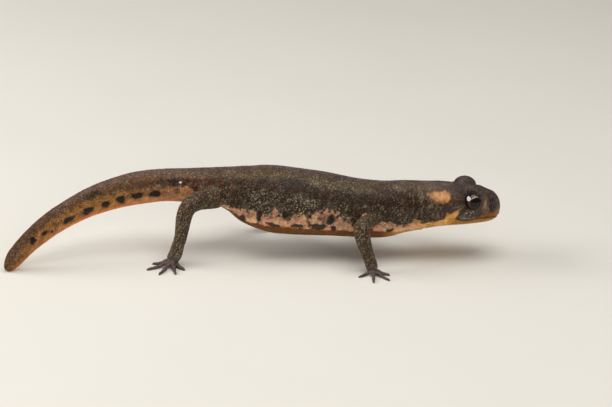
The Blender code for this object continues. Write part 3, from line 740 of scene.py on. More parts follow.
def fold_lift(place):
    """How far folds, grooves and ridges lift the skin along its normals."""
    points, at, degrees, stage = place.points, place.at, place.degrees, place.stage
    off_limb = 1 - place.on_limb
    sway = noise(points, 3.0, 11)
    lift = 0.05 * noise(points, 4.2, 12) * smooth(at, 9, 16)
    # Rib grooves down the flanks, about one for each vertebra between arm and leg.
    flank = between(at, 18, 22, 41, 45) * between(degrees, -45, -20, 50, 70)
    lift -= groove_depth(RIB_GROOVES, at, degrees, sway) * flank * off_limb
    # The muscle blocks of the tail show as slanting grooves, bent at the middle of its side.
    tail = between(at, 50, 55, 76, 82) * smooth(70 - np.abs(degrees), 0, 20)
    lift -= groove_depth(TAIL_GROOVES, at, np.abs(degrees), sway) * tail * off_limb
    # The throat fold, the swelling behind the eye, the ridge from the eye to the nostril, and wrinkles.
    lift += ridges(at - THROAT_FOLD_AT - 0.25 * sway, THROAT_FOLD) * smooth(-degrees, -5, 18)
    lift += 0.16 * hill(place, EYE_SWELLING) + 0.2 * hill(place, SNOUT_RIDGE)
    wrinkled = between(at, 6.2, 7.6, 10, 13) * bump(degrees, 18, 38) * smooth(place.face_gap, 1.9, 2.5)
    lift += 0.045 * noise(points, 0.6, 66) * wrinkled
    # The folds of the neck.
    neck = between(at, 12, 14, 17, 19) * smooth(60 - np.abs(degrees), 0, 20)
    lift -= groove_depth(NECK_FOLDS, at, degrees, sway) * neck
    # The edge where the flank meets the belly.
    lift += 0.06 * bump(degrees, -20 + 4 * sway, 6) * between(at, 17, 22, 40, 46) * off_limb
    # The slit of the vent, along the middle of its mound.
    lift -= 0.14 * hill(place, VENT_SLIT)
    # Creases inside the bends of the limbs.
    for joint, creases in ((1, ELBOW_CREASES), (2, WRIST_CREASES)):
        lift -= groove_depth(creases, stage - joint) * bump(stage, joint, CREASE_REACH) * place.on_limb
    return lift


# Grains of the skin: how far they lift it, the height and number of the coarse and the fine ones, and where
# the coarse ones stand.
Relief = namedtuple("Relief", "lift coarse number fine fine_number strength")


def grain_relief(place):
    """Grains coarse on back, flanks and limbs, fine on head and belly."""
    coarse, number = grains(place.points, 0.31, 21)
    fine, fine_number = grains(place.points, 0.3, 25)
    on_body = smooth(place.at, 9, 14) * smooth(place.degrees, -34, -10) * (1 - place.on_limb)
    strength = np.maximum(on_body, place.on_limb * smooth(3.5 - place.stage, 0, 0.6))
    strength = strength * smooth(place.face_gap, 2.3, 3.4)
    lift = 0.034 * (coarse - 0.3) * strength * (0.5 + number)
    off_rims = smooth(place.face_gap, 1.9, 2.4)
    lift += 0.012 * (fine - 0.3) * (1 - 0.6 * strength) * off_rims * (0.4 + fine_number)
    return Relief(lift, coarse, number, fine, fine_number, strength)


# Colours, as linear red, green and blue.
HEAD_TOP = (0.053, 0.035, 0.025)
# The back's top: its own dark purplish brown, made lighter and greyer by painted sheen.
BACK_SHEEN_GREY = (0.105, 0.068, 0.056)
OLIVE = (0.105, 0.062, 0.026)
DARK_BROWN = (0.04, 0.015, 0.004)
FLANK_BROWN = (0.05, 0.026, 0.013)
SALMON = (0.88, 0.45, 0.25)
# The belly's orange, darkened by painted shade from under the body.
SHADED_BELLY_ORANGE = (0.18, 0.058, 0.0015)
THROAT_ORANGE = (0.79, 0.385, 0.105)
PEACH = (0.44, 0.19, 0.062)
PEACH_PALE = (0.6, 0.31, 0.14)
HEAD_BROWN = (0.083, 0.048, 0.028)
CHEEK_BROWN = (0.058, 0.033, 0.021)
NOSTRIL_DARK = (0.008, 0.004, 0.006)
RIM_BLACK = (0.014, 0.01, 0.008)
LIP_ORANGE = (0.33, 0.112, 0.01)
MOUTH_DARK = (0.03, 0.015, 0.01)
HIP_RED = (0.058, 0.015, 0.006)
TAIL_PURPLE = (0.172, 0.083, 0.055)
TAIL_BROWN = (0.167, 0.076, 0.029)
TAIL_ORANGE = (0.47, 0.2, 0.05)
TAIL_PINK = (0.53, 0.245, 0.115)
JAW_ORANGE = (0.54, 0.235, 0.03)
CREAM = (0.85, 0.62, 0.4)
KEEL_ORANGE = (0.75, 0.2, 0.02)
SPOT_BLACK = (0.01, 0.007, 0.005)
SPINE_PALE = (0.2, 0.15, 0.14)
LIMB_BROWN = (0.095, 0.055, 0.024)
LIMB_DARK = (0.036, 0.026, 0.022)
KNEE_RED = (0.085, 0.03, 0.014)
DIGIT_GREY = (0.105, 0.07, 0.062)
DIGIT_TIP = (0.15, 0.075, 0.04)
GREY_GRAIN = (0.42, 0.375, 0.265)
TAN_GRAIN = (0.32, 0.265, 0.16)
PURPLE_GRAIN = (0.21, 0.16, 0.15)
ORANGE_GRAIN = (0.56, 0.3, 0.12)
BLUE_GREY = (0.2, 0.2, 0.19)
# Pale grains of the head, partly painted glints, and a painted white glint.
GRAIN_GLINT_GREY = (0.38, 0.35, 0.3)
GLINT_WHITE = (0.8, 0.76, 0.68)

# How the bands of the side and the pale grains change colour along the body, from the snout.
BACK_COLOURS = ((7, HEAD_TOP), (12, BACK_SHEEN_GREY), (50, BACK_SHEEN_GREY), (58, TAIL_PURPLE), (86, TAIL_BROWN))
OLIVE_COLOURS = ((8, HEAD_TOP), (12, OLIVE), (48, OLIVE), (54, TAIL_BROWN))
DARK_COLOURS = (
    (0, HEAD_BROWN), (13, DARK_BROWN), (44, DARK_BROWN), (48, HIP_RED), (54, HIP_RED), (62, TAIL_BROWN),
)
FLANK_COLOURS = (
    (0, HEAD_BROWN), (8, CHEEK_BROWN), (16, FLANK_BROWN), (44, FLANK_BROWN), (50, HIP_RED), (55, TAIL_BROWN),
)
STRIP_COLOURS = (
    (0, LIP_ORANGE), (8, THROAT_ORANGE), (13, THROAT_ORANGE), (17, SALMON), (44, SALMON), (50, TAIL_PINK),
    (57, TAIL_PINK), (62, TAIL_ORANGE), (80, TAIL_ORANGE), (86, LIP_ORANGE),
)
BELLY_COLOURS = ((16, THROAT_ORANGE), (20, SHADED_BELLY_ORANGE), (48, SHADED_BELLY_ORANGE), (54, KEEL_ORANGE))
GRAIN_COLOURS = ((0, PURPLE_GRAIN), (12, GREY_GRAIN), (43, GREY_GRAIN), (49, TAN_GRAIN))

# Upper edges of the bands along the side, as distance from the snout and degrees above the widest level.
BELLY_EDGE = (
    (0, -90), (9, -70), (16, -40), (20, -25), (34, -22), (38, -27), (41, -40), (50, -46), (56, -49),
)
STRIP_EDGE = (
    (0, -34), (7.6, -30), (7.75, 15), (8.9, 9), (9.8, 2), (10.7, -10), (11.6, -22), (12.6, -19), (13.7, -16),
    (14.8, -14), (15.5, -17), (16.4, -22), (17.2, -23), (18.1, -16), (19.1, -8), (20.5, -4), (24, 0), (29, 4),
    (33, 4), (37, -1), (40, -8), (43, -23), (46, -19), (48, -22), (50, -4), (52, 20), (54, 15), (58, 11),
    (62, 13), (66, 19), (70, 26), (78, 32), (82, 20), (86, 8),
)
FLANK_EDGE = (
    (0, 30), (12, 10), (16, 20), (20, 24), (26, 26), (32, 30), (38, 32), (42, 42), (46, 30), (50, 24),
    (54, 22), (60, 24), (66, 30), (72, 36), (86, 30),
)
DARK_EDGE = (
    (0, 52), (12, 58), (15, 60), (19, 58), (23, 46), (28, 50), (32, 58), (37, 60), (41, 52), (50, 52),
    (54, 46), (60, 40),
)
OLIVE_EDGE = ((0, 64), (9, 74), (16, 77), (40, 79), (50, 76), (58, 62), (66, 56), (86, 50))

# Upper and lower edges of the peach patch behind the eye.
PATCH_TOP = ((9.15, 50), (9.3, 60), (10.6, 60), (12.2, 57), (12.8, 50))
PATCH_BOTTOM = ((9.15, 50), (9.3, 40), (9.6, 33), (10.3, 29), (11.3, 29), (12.2, 36), (12.8, 44))
PATCH_MIDDLE = 10.95
PATCH_HALF = 1.75

# Height of the orange on the upper lip, by distance from the snout.
UPPER_LIP = ((1.8, 1.2), (3.5, 0.75), (5.5, 0.25), (7.0, -0.3))

# Spots: distance from the snout, degrees, half length and half height.
# Round dark spots low on the tail, and fainter ones above them.
TAIL_SPOTS = (
    (56.8, -16, 0.85, 0.62), (60.3, -15, 1.05, 0.56), (62.9, -21, 0.75, 0.62), (65.6, -24, 0.62, 0.50),
    (68.8, -20, 0.85, 0.62), (72.4, -13, 0.85, 0.60), (75.8, -22, 0.30, 0.26), (76.9, -2, 0.52, 0.36),
    (79.1, 14, 0.48, 0.55),
)
FAINT_SPOTS = ((67.2, 43, 1.2, 0.55), (53.2, -2, 0.5, 0.4))
# Small pale grains on the side of the head, partly painted glints, and a painted white glint at the hip.
HEAD_GRAIN_GLINTS = (
    (7.3, 25, 0.10, 0.08), (5.6, 9, 0.09, 0.08), (6.6, 5, 0.13, 0.06), (6.0, 1, 0.10, 0.06),
    (5.9, 6, 0.07, 0.06), (7.8, 22, 0.06, 0.06), (8.1, 32, 0.06, 0.05),
)
HIP_GLINT = ((52.7, 29, 0.17, 0.15),)
# Dark blotches where flank and belly meet.
BELLY_BLOTCHES = (
    (22.3, -19, 0.6, 0.32), (27.7, -21, 0.33, 0.5), (28.2, -2, 0.5, 0.6), (30.1, -17, 1.1, 0.48),
    (32.9, -21, 0.85, 0.44), (36.7, -23, 0.95, 0.42), (39.1, -17, 0.33, 1.25), (41.2, -38, 0.35, 0.8),
    (18.9, -24, 0.4, 0.35), (35.2, -2, 0.5, 0.35), (31.3, -1, 0.25, 0.25),
)

# Flecks: their colour, their size in millimetres, the seed of the noise that scatters them, the noise at
# which they begin and at which they are full, and their strength.
Flecks = namedtuple("Flecks", "colour size seed low high strength")
FLANK_MOTTLE = Flecks((0.125, 0.098, 0.068), 0.75, 57, -0.1, 0.7, 0.55)
TRUNK_PINK = Flecks((0.89, 0.36, 0.26), 2.2, 53, -0.2, 0.6, 0.8)
TRUNK_BROWN = Flecks((0.42, 0.19, 0.08), 1.3, 54, 0.0, 0.7, 0.6)
TRUNK_CREAM = Flecks(CREAM, 0.45, 55, 0.0, 0.6, 0.6)
TRUNK_DARK = Flecks(FLANK_BROWN, 0.38, 56, 0.4, 0.9, 0.5)
THROAT_CREAM = Flecks(CREAM, 0.4, 58, 0.05, 0.6, 0.45)
THROAT_DARK = Flecks(HEAD_BROWN, 0.45, 61, 0.35, 0.8, 0.5)
TAIL_DARK = Flecks(TAIL_BROWN, 0.55, 45, 0.0, 0.7, 0.55)
HIP_FLECKS = Flecks((0.3, 0.11, 0.045), 0.45, 68, 0.1, 0.7, 0.55)
HIP_SHADE = Flecks((0.02, 0.01, 0.008), 0.8, 67, -0.2, 0.5, 0.75)
PATCH_FLECKS = Flecks((0.25, 0.1, 0.03), 0.3, 52, 0.2, 0.9, 0.35)
VIOLET_PATCHES = Flecks((0.085, 0.052, 0.078), 0.9, 63, 0.1, 0.7, 0.5)
PALE_FLECKS = Flecks(BLUE_GREY, 0.26, 64, 0.1, 0.5, 0.8)
EYE_STREAKS = Flecks((0.3, 0.19, 0.115), 0.9, 65, -0.4, 0.3, 0.8)
NOSTRIL_STREAKS = Flecks((0.15, 0.11, 0.115), 0.8, 62, 0.2, 0.7, 0.5)
NECK_STREAKS = Flecks((0.2, 0.135, 0.08), 0.7, 51, 0.0, 0.6, 0.75)


def edge(profile, at):
    line = np.array(profile, float)
    return np.interp(at, line[:, 0], line[:, 1])


def along(at, stops):
    """A colour that changes along the body through stops of distance and colour."""
    places, colours = zip(*stops)
    return np.stack([np.interp(at, places, channel) for channel in zip(*colours)], axis=1)


def mix(under, *layers):
    """The colour under layers of (colour, share)."""
    for over, share in layers:
        under = under + (np.asarray(over) - under) * np.clip(share, 0, 1)[:, None]
    return under


class Coat:
    """The skin's colour, laid on layer over layer, and what the layers share: the place along the body, the
    degrees up its side, the same made wavy, and noise in lumps of middle and small size."""

    def __init__(self, body, place):
        self.place, self.points, self.at, self.up = place, place.points, place.at, place.degrees
        broad, self.middle, self.small = (
            noise(self.points, size, seed) for size, seed in ((3.2, 41), (1.1, 42), (0.42, 43))
        )
        self.ragged = np.interp(self.at, (0, 9, 15), (0.3, 0.35, 1.0))
        self.wavy = self.up + self.ragged * (4.5 * broad + 3.5 * self.middle + 2.5 * self.small)
        stations = np.linspace(0, body.length, 200)
        self.fall = np.interp(self.at, stations, hermite(stations, body.knots, BODY)[:, FALL])
        self.colour = along(self.at, BELLY_COLOURS)

    def above(self, profile, soft, shift=0.0):
        return smooth(self.wavy + shift - edge(profile, self.at), -soft, soft)

    def below(self, profile, soft, shift=0.0):
        return smooth(edge(profile, self.at) + shift - self.wavy, -soft, soft)

    def lay(self, colour, share, where=slice(None)):
        self.colour[where] = mix(self.colour[where], (colour, share))

    def fleck(self, flecks, share, points=None):
        """Lays on flecks by noise read at the points, or where the skin itself is."""
        lumps = noise(self.points if points is None else points, flecks.size, flecks.seed)
        self.lay(flecks.colour, share * smooth(lumps, flecks.low, flecks.high) * flecks.strength)

    def spots(self, rows, shift, seed, warp=0.0, grow=0.0):
        """How deep inside one of the spots each point is, from 0 to 1, with uneven edges and warped outlines.
        On the left side the spots are shifted along."""
        share = np.zeros(len(self.at))
        ragged = noise(self.points, 0.7, seed, 3)
        pull, push = warp * noise(self.points, 1.5, seed + 60), warp * noise(self.points, 1.2, seed + 61)
        for number, (at, degrees, long, high) in enumerate(rows):
            moved = np.where(self.place.side > 0, shift * (1 + number % 3), 0)
            ahead = self.at - at - moved + pull
            up = np.radians(self.up - degrees) * self.fall + push
            reach = np.hypot(ahead / long, up / high) + 0.5 * ragged
            share = np.maximum(share, smooth(1.5 + grow - reach, 0, 0.6))
        return share * (1 - self.place.on_limb)


def paint_bands(coat):
    """The bands of the side, from belly to back."""
    at, middle, small = coat.at, coat.middle, coat.small
    coat.lay(along(at, STRIP_COLOURS), coat.above(BELLY_EDGE, 3))
    cheek_front = 8.75 - 0.02 * (coat.up + 22) + 0.2 * middle + 0.22 * small
    before_cheek = smooth(cheek_front - at, -0.1, 0.1) * smooth(coat.up, -33, -26)
    softness = 4 + 5 * smooth(at, 50, 56)
    above_strip = coat.above(STRIP_EDGE, softness, coat.ragged * (6 * middle + 7 * small))
    coat.lay(along(at, FLANK_COLOURS), np.maximum(above_strip, before_cheek))
    coat.lay(along(at, DARK_COLOURS), coat.above(FLANK_EDGE, 6, 5 * middle))
    coat.lay(along(at, OLIVE_COLOURS), coat.above(DARK_EDGE, 5, 4 * middle))
    # The top of the back, its grey partly painted sheen.
    coat.lay(along(at, BACK_COLOURS), coat.above(OLIVE_EDGE, 5))
    coat.fleck(FLANK_MOTTLE, above_strip * coat.below(FLANK_EDGE, 10, 12) * smooth(at, 14, 19))


def paint_strip(coat):
    """The flecks and patches of the strip between belly and flank, and of the hips. Returns the strip."""
    at = coat.at
    strip = coat.above(BELLY_EDGE, 3) * coat.below(STRIP_EDGE, 4)
    trunk = strip * between(at, 15, 20, 44, 48)
    for flecks in (TRUNK_PINK, TRUNK_BROWN, TRUNK_CREAM):
        coat.fleck(flecks, trunk)
    upper_part = smooth(coat.wavy - edge(STRIP_EDGE, at), -16, 0)
    dark = smooth(noise(coat.points, 0.8, 44) + 0.5 * upper_part, 0.3, 0.8)
    coat.lay(FLANK_BROWN, trunk * dark * (0.3 + 0.5 * upper_part))
    coat.fleck(TRUNK_DARK, trunk)
    throat = strip * between(at, 9, 12, 16, 19)
    coat.fleck(THROAT_CREAM, throat)
    coat.fleck(THROAT_DARK, throat)
    coat.fleck(TAIL_DARK, strip * smooth(at, 50, 54))
    coat.fleck(HIP_FLECKS, hill(coat.place, HIP))
    coat.fleck(HIP_SHADE, hill(coat.place, BEHIND_HIP))
    return strip


def paint_spots(coat):
    """The spots of the tail and the blotches of the belly's edge. Returns where they are."""
    spots = coat.spots(TAIL_SPOTS, 0.35, 46, 0.12)
    blotches = coat.spots(BELLY_BLOTCHES, 0.6, 48, 0.35)
    coat.lay(TAIL_BROWN, coat.spots(TAIL_SPOTS, 0.35, 46, 0.12, grow=0.5) * 0.4)
    coat.lay(SPOT_BLACK, spots * 0.97)
    coat.lay(SPOT_BLACK, coat.spots(FAINT_SPOTS, 0.5, 47) * 0.6)
    coat.lay(SPOT_BLACK, blotches * 0.94)
    return np.maximum(spots, blotches)


def paint_patch(coat):
    """The peach patch behind the eye. Returns its share."""
    inside = np.minimum(edge(PATCH_TOP, coat.at) - coat.up, coat.up - edge(PATCH_BOTTOM, coat.at))
    inside = inside - 30 * np.maximum(np.abs(coat.at - PATCH_MIDDLE) - PATCH_HALF, 0)
    inside = inside + 2.5 * coat.middle + 4.0 * coat.small
    patch = smooth(inside, -6, 6 + 3 * smooth(coat.at, 11, 13))
    coat.lay(PEACH, patch)
    coat.lay(PEACH_PALE, smooth(inside, 3, 12) * 0.5)
    coat.fleck(PATCH_FLECKS, patch)
    return patch


def paint_mouth(coat, mouth):
    """Orange lips, a pale blue-grey streak before the corner of the mouth, and its dark line."""
    head = np.flatnonzero(coat.at < 9.6)
    mouth_at, gap, above = mouth_near(mouth, coat.points[head])
    lip = edge(UPPER_LIP, mouth_at) + 0.25 * coat.small[head]
    coat.lay(LIP_ORANGE, smooth(lip - above, -0.15, 0.3) * smooth(above, -0.05, 0.05) * 0.9, head)
    coat.lay(JAW_ORANGE, smooth(-above, -0.02, 0.1) * smooth(1.8 - gap, 0, 0.8) * 0.75, head)
    coat.lay(BLUE_GREY, bump(above, 0.42, 0.2) * bump(mouth_at, 6.9, 1.1) * 0.75, head)
    coat.lay(MOUTH_DARK, bump(gap, 0, 0.1) * smooth(MOUTH_END - mouth_at, 0, 0.4) * 0.8, head)


def paint_head(coat, body, patch):
    """Flecks under and behind the eye, streaks before it and down the neck, and the dark rims of the lids;
    also pale grains on the head that are partly painted glints, a painted white glint at the hip, and the pale
    line along the spine."""
    at, up, place = coat.at, coat.up, coat.place
    coat.fleck(PALE_FLECKS, hill(place, UNDER_EYE) + hill(place, BEHIND_EYE))
    # Pale grains on the head, partly painted glints, and a painted white glint on the hip.
    coat.lay(GRAIN_GLINT_GREY, coat.spots(HEAD_GRAIN_GLINTS, 0.1, 50) * 0.8)
    coat.lay(GLINT_WHITE, coat.spots(HIP_GLINT, 0.1, 50))
    down = np.radians(up) * coat.fall
    upright = np.stack([at * 2.6 + 0.9 * down + 0.4 * coat.middle, down * 0.7, place.side * 9.0], axis=1)
    coat.fleck(EYE_STREAKS, hill(place, BEFORE_EYE), upright)
    beside_nostril = np.clip(1.7 * hill(place, BESIDE_NOSTRIL), 0, 1)
    coat.lay(NOSTRIL_DARK, beside_nostril * 0.95)
    coat.fleck(NOSTRIL_STREAKS, beside_nostril, upright)
    neck = between(at, 9.5, 11, 16, 18) * between(up, -25, -10, 46, 58)
    coat.fleck(NECK_STREAKS, neck * (1 - patch), upright)
    for side in SIDES:
        _, _, radius, share, high = eye_coordinates(body, coat.points, side)
        rim = smooth(1.13 + 0.06 * np.clip(high, 0, 1) - share, 0, 0.06) * (radius < LID_REACH)
        coat.lay(RIM_BLACK, rim * 0.9)
    coat.lay(SPINE_PALE, bump(up, 90, 3.2) * between(at, 8, 10, 40, 60) * 0.45)


def paint_limbs(coat):
    """Limbs brown with dark patches, and purplish grey digits with browner tips."""
    place = coat.place
    knee = bump(place.stage, 1.0, 0.3) * place.leg * smooth(coat.small, -0.3, 0.5)
    limb = mix(
        np.array(LIMB_BROWN),
        (DIGIT_GREY, smooth(place.stage, 2.3, 3.2)),
        (DIGIT_TIP, smooth(place.stage, 3.7, 4.0) * 0.8),
        (LIMB_DARK, smooth(coat.middle, 0.1, 0.7) * 0.6),
        (KNEE_RED, knee * 0.6),
    )
    coat.lay(limb, place.on_limb)


def paint_grains(coat, relief, strip, dark_spots, patch):
    """Mottling, painted shade in the seams between the raised grains, and the pale grains. Returns the colour
    of the pale grains and how many there are."""
    at, strength, on_limb = coat.at, relief.strength, coat.place.on_limb
    coat.colour = coat.colour * (1 + 0.2 * coat.middle + 0.16 * coat.small)[:, None]
    # Painted shade in the seams between the raised grains.
    coat.colour = coat.colour * (1 - 0.45 * strength * (1 - relief.coarse))[:, None]
    grain = mix(
        along(at, GRAIN_COLOURS),
        (TAN_GRAIN, coat.above(DARK_EDGE, 5) * smooth(at, 14, 18)),
        (PURPLE_GRAIN, coat.above(OLIVE_EDGE, 5)),
        (ORANGE_GRAIN, strip),
        (GREY_GRAIN, on_limb),
    )
    pale = np.where(relief.number > 0.3, 1.0, 0.0) * smooth(relief.coarse, 0.35, 0.8)
    dark_band = coat.above(FLANK_EDGE, 6) * coat.below(DARK_EDGE, 5)
    patchy = smooth(noise(coat.points, 2.0, 49), -0.5, 0.6)
    amount = strength * (1 - 0.72 * dark_band * smooth(at, 12, 16)) * (0.3 + 0.7 * patchy)
    neck = bump(at, 13.2, 2.6) * smooth(coat.wavy, -30, -12)
    amount = amount * (1 - dark_spots) * (1 - 0.7 * neck)
    amount = amount + (strength * 0.6 - amount) * on_limb
    coat.lay(grain, pale * amount * 0.55)
    # Small pale grains on the head, in rows before the eye and scattered behind it.
    on_head = smooth(15 - at, 0, 3) * smooth(coat.up - edge(STRIP_EDGE, at), 0, 10) * (1 - patch)
    chosen = np.where(relief.fine_number > 0.5, 0.45, 0.0)
    coat.lay(PURPLE_GRAIN, on_head * chosen * smooth(relief.fine, 0.3, 0.8))
    return grain, np.clip(amount, 0, 1)


def paint(body, mouth, place, relief):
    """The skin's pigment, the colour of its pale grains and how many of the grains are pale."""
    coat = Coat(body, place)
    paint_bands(coat)
    strip = paint_strip(coat)
    dark_spots = paint_spots(coat)
    patch = paint_patch(coat)
    coat.fleck(VIOLET_PATCHES, smooth(9 - coat.at, 0, 2) * smooth(coat.up, 35, 55))
    paint_mouth(coat, mouth)
    paint_head(coat, body, patch)
    paint_limbs(coat)
    grain, amount = paint_grains(coat, relief, strip, dark_spots, patch)
    return np.clip(coat.colour, 0.004, 0.9), grain, amount


class Graph:
    """A material's nodes, added one at a time by short calls."""

    def __init__(self, name):
        self.material = bpy.data.materials.new(name)
        self.material.use_nodes = True
        self.tree = self.material.node_tree

    def join(self, value, socket):
        if isinstance(value, bpy.types.NodeSocket):
            self.tree.links.new(value, socket)
        else:
            socket.default_value = value

    def node(self, kind, inputs, **settings):
        """The outputs of a new node."""
        made = self.tree.nodes.new(kind)
        for name, value in settings.items():
            setattr(made, name, value)
        for name, value in inputs.items():
            self.join(value, made.inputs[name])
        return made.outputs

    def math(self, operation, first, second):
        return self.node("ShaderNodeMath", {0: first, 1: second}, operation=operation)[0]

    def times(self, first, second):
        return self.math("MULTIPLY", first, second)

    def ramp(self, value, low, high):
        """0 below low and 1 above high, with a soft step between."""
        inputs = {"Value": value, "From Min": low, "From Max": high}
        return self.node("ShaderNodeMapRange", inputs, interpolation_type="SMOOTHSTEP")["Result"]

    def span(self, value, low, high):
        """Low where the value is 0 and high where it is 1."""
        return self.node("ShaderNodeMapRange", {"Value": value, "To Min": low, "To Max": high})["Result"]

    def mixed(self, share, first, second, blend="MIX"):
        inputs = {"Factor": share, 6: first, 7: second}
        return self.node("ShaderNodeMix", inputs, data_type="RGBA", blend_type=blend)[2]

    def attribute(self, name, output):
        return self.node("ShaderNodeAttribute", {}, attribute_name=name)[output]

    def texture(self, kind, size, **inputs):
        """The outputs of a texture with lumps of that size in millimetres."""
        where = self.node("ShaderNodeTexCoord", {})["Object"]
        return self.node(kind, {"Vector": where, "Scale": 1 / (size * MM), **inputs})

    def noise(self, size, detail=3.0):
        return self.texture("ShaderNodeTexNoise", size, Detail=detail, Roughness=0.55)["Fac"]

    def finish(self, inputs, heights=()):
        """Sets the surface, with bumps of (height, depth in millimetres) one after another."""
        normal = {}
        for height, depth in heights:
            relief = {"Height": height, "Distance": depth * MM, "Strength": 1.0, **normal}
            normal = {"Normal": self.node("ShaderNodeBump", relief)["Normal"]}
        surface = self.tree.nodes["Principled BSDF"]
        for name, value in {**inputs, **normal}.items():
            self.join(value, surface.inputs[name])
        return self.material


def skin_material():
    """Moist, fine-grained skin: pigment from the markings, pale grains, and a thin wet film."""
    graph = Graph("newt_skin")
    cells = graph.texture("ShaderNodeTexVoronoi", 0.24, Randomness=1.0)
    gap = cells["Distance"]
    dome = graph.ramp(gap, 0.55, 0.1)
    chance = graph.node("ShaderNodeSeparateColor", {"Color": cells["Color"]})[0]
    pale = graph.times(graph.ramp(chance, 0.45, 0.7), graph.ramp(gap, 0.42, 0.2))
    pale = graph.times(graph.times(pale, graph.attribute("grain_amount", "Fac")), 0.6)
    colour = graph.mixed(pale, graph.attribute("pigment", "Color"), graph.attribute("grain", "Color"))
    mottle = graph.ramp(graph.noise(0.9, 4.0), 0.3, 0.7)
    # A mottled tone, times painted shade in the seams between grains and a little painted light on their
    # domes, scales the base colour.
    shade = graph.times(graph.span(mottle, 0.84, 1.16), graph.span(dome, 0.8, 1.08))
    grey = graph.node("ShaderNodeCombineColor", {0: shade, 1: shade, 2: shade})[0]
    inputs = {
        "Base Color": graph.mixed(1.0, colour, grey, "MULTIPLY"),
        "Roughness": graph.span(graph.noise(0.5), 0.42, 0.62),
        "Subsurface Weight": 0.12,
        "Subsurface Radius": (0.5, 0.22, 0.12),
        "Subsurface Scale": 0.0006,
        "Specular IOR Level": 0.2,
        "Coat Weight": 0.04,
        "Coat Roughness": 0.25,
    }
    return graph.finish(inputs, [(dome, 0.022), (graph.noise(0.08, 2.0), 0.008)])


def eye_material():
    """A black pupil in a dark red-brown iris with gold flecks, under a wet clear surface."""
    graph = Graph("newt_eye")
    wobble = graph.times(graph.math("SUBTRACT", graph.noise(0.5), 0.5), 3.0)
    angle = graph.math("ADD", graph.attribute("off_gaze", "Fac"), wobble)
    flecks = graph.ramp(graph.noise(0.12, 4.0), 0.5, 0.72)
    iris = graph.mixed(flecks, (0.030, 0.006, 0.005, 1), (0.095, 0.030, 0.020, 1))
    gold = graph.times(graph.ramp(graph.attribute("above_gaze", "Fac"), 0.25, 0.6), graph.ramp(angle, 49, 44))
    iris = graph.mixed(graph.times(gold, 0.75), iris, (0.36, 0.25, 0.16, 1))
    iris = graph.mixed(graph.ramp(angle, 56, 70), iris, (0.010, 0.006, 0.006, 1))
    inputs = {
        "Base Color": graph.mixed(graph.ramp(angle, 38, 40), (0.002, 0.002, 0.002, 1), iris),
        "Roughness": 0.35,
        "Specular IOR Level": 0.0,
        "Coat Weight": 1.0,
        "Coat Roughness": 0.03,
        "Coat IOR": 1.38,
    }
    return graph.finish(inputs)


def floor_material():
    graph = Graph("studio_floor")
    tint = graph.mixed(graph.noise(40.0), (0.60, 0.575, 0.52, 1), (0.64, 0.615, 0.56, 1))
    return graph.finish({"Base Color": tint, "Roughness": 0.85})


def shift_to_frame(body):
    """How far the newt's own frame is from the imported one, told by the place of the solids' right eye."""
    low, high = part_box("eye_right")
    packed = np.array((low + high) / 2) / MM
    return body.place(EYE_AT, -EYE_OUT, SOLID_EYE_UP) - packed


def set_attribute(mesh, name, values):
    """Gives each point of a mesh a number or a colour."""
    kind, field = "FLOAT", "value"
    if values.ndim == 2:
        kind, field = "FLOAT_COLOR", "color"
        values = np.insert(values, 3, 1.0, axis=1)
    layer = mesh.attributes.new(name, kind, "POINT")
    layer.data.foreach_set(field, values.astype(np.float32).ravel())


def soften_joins(mesh, body, marks, points):
    """Soft hollows where the limbs leave the body and where the lids leave the head."""
    place = find_place(body, marks, points)
    outer = body.locate(marks.points)[3] > -1.0
    which, gap = nearest_of(points, marks.points[outer])
    near_root = smooth(1.5 - gap / marks.radius[outer][which], 0, 0.35) * (marks.stage[outer][which] < 0.9)
    roots = bump(place.clear, 0.25, 0.6) * near_root
    points = relax(mesh, points, ROOT_ROUNDS, roots, keep_volume=False)
    return relax(mesh, points, LID_ROUNDS, bump(place.face_gap, 2.3, 0.45), keep_volume=False)


def refine_face(mesh, body, mouth):
    """Finer faces round the eyes, the mouth and the nostrils, and finer still close to them."""
    for reach in (1.0, 0.55):
        points = read_points(mesh)
        wanted = np.zeros(len(points), bool)
        front = ahead_of(body, points, 9.4)
        wanted[front] = nearest_of(points[front], mouth.points)[1] < reach * 0.7
        for side in SIDES:
            _, _, radius, opening, _ = eye_coordinates(body, points, side)
            wanted |= (radius < LID_REACH) & (opening < 1 + reach * 0.5) & (opening > 1 - reach * 0.45)
            wanted |= nostril_gap(body, points, side) < reach * 0.8
        refine(mesh, wanted)
        points = read_points(mesh)
        fresh = np.ones(len(points))
        fresh[:len(wanted)] = wanted
        write_points(mesh, relax(mesh, points, REFINED_ROUNDS, fresh))


def build_skin(body, shift):
    limb_shapes, marks = gather_limbs()
    lids = [lid_dome(body, side) for side in SIDES]
    skin = fused_skin([body_shape(body)] + lids + limb_shapes)
    mesh = skin.data
    points = relax(mesh, read_points(mesh), EVEN_ROUNDS, np.ones(len(mesh.vertices)))
    write_points(mesh, soften_joins(mesh, body, marks, points))
    mouth = mouth_path(body)
    refine_face(mesh, body, mouth)
    points = open_lids(body, read_points(mesh))
    write_points(mesh, points)
    place = find_place(body, marks, points)
    relief = grain_relief(place)
    lift = (fold_lift(place) + relief.lift) * smooth(place.face_gap, 1.75, 2.1)
    lift = lift + face_lift(body, mouth, points)
    points = points + read_rows(mesh.vertex_normals, "vector") * lift[:, None]
    points[:, 2] = np.maximum(points[:, 2], 0.0)
    for name, values in zip(("pigment", "grain", "grain_amount"), paint(body, mouth, place, relief)):
        set_attribute(mesh, name, values)
    write_points(mesh, (points - shift) * MM)
    mesh.shade_smooth()
    mesh.materials.clear()
    mesh.materials.append(skin_material())
    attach(skin, "root")
    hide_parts(*FLESH_NODES)


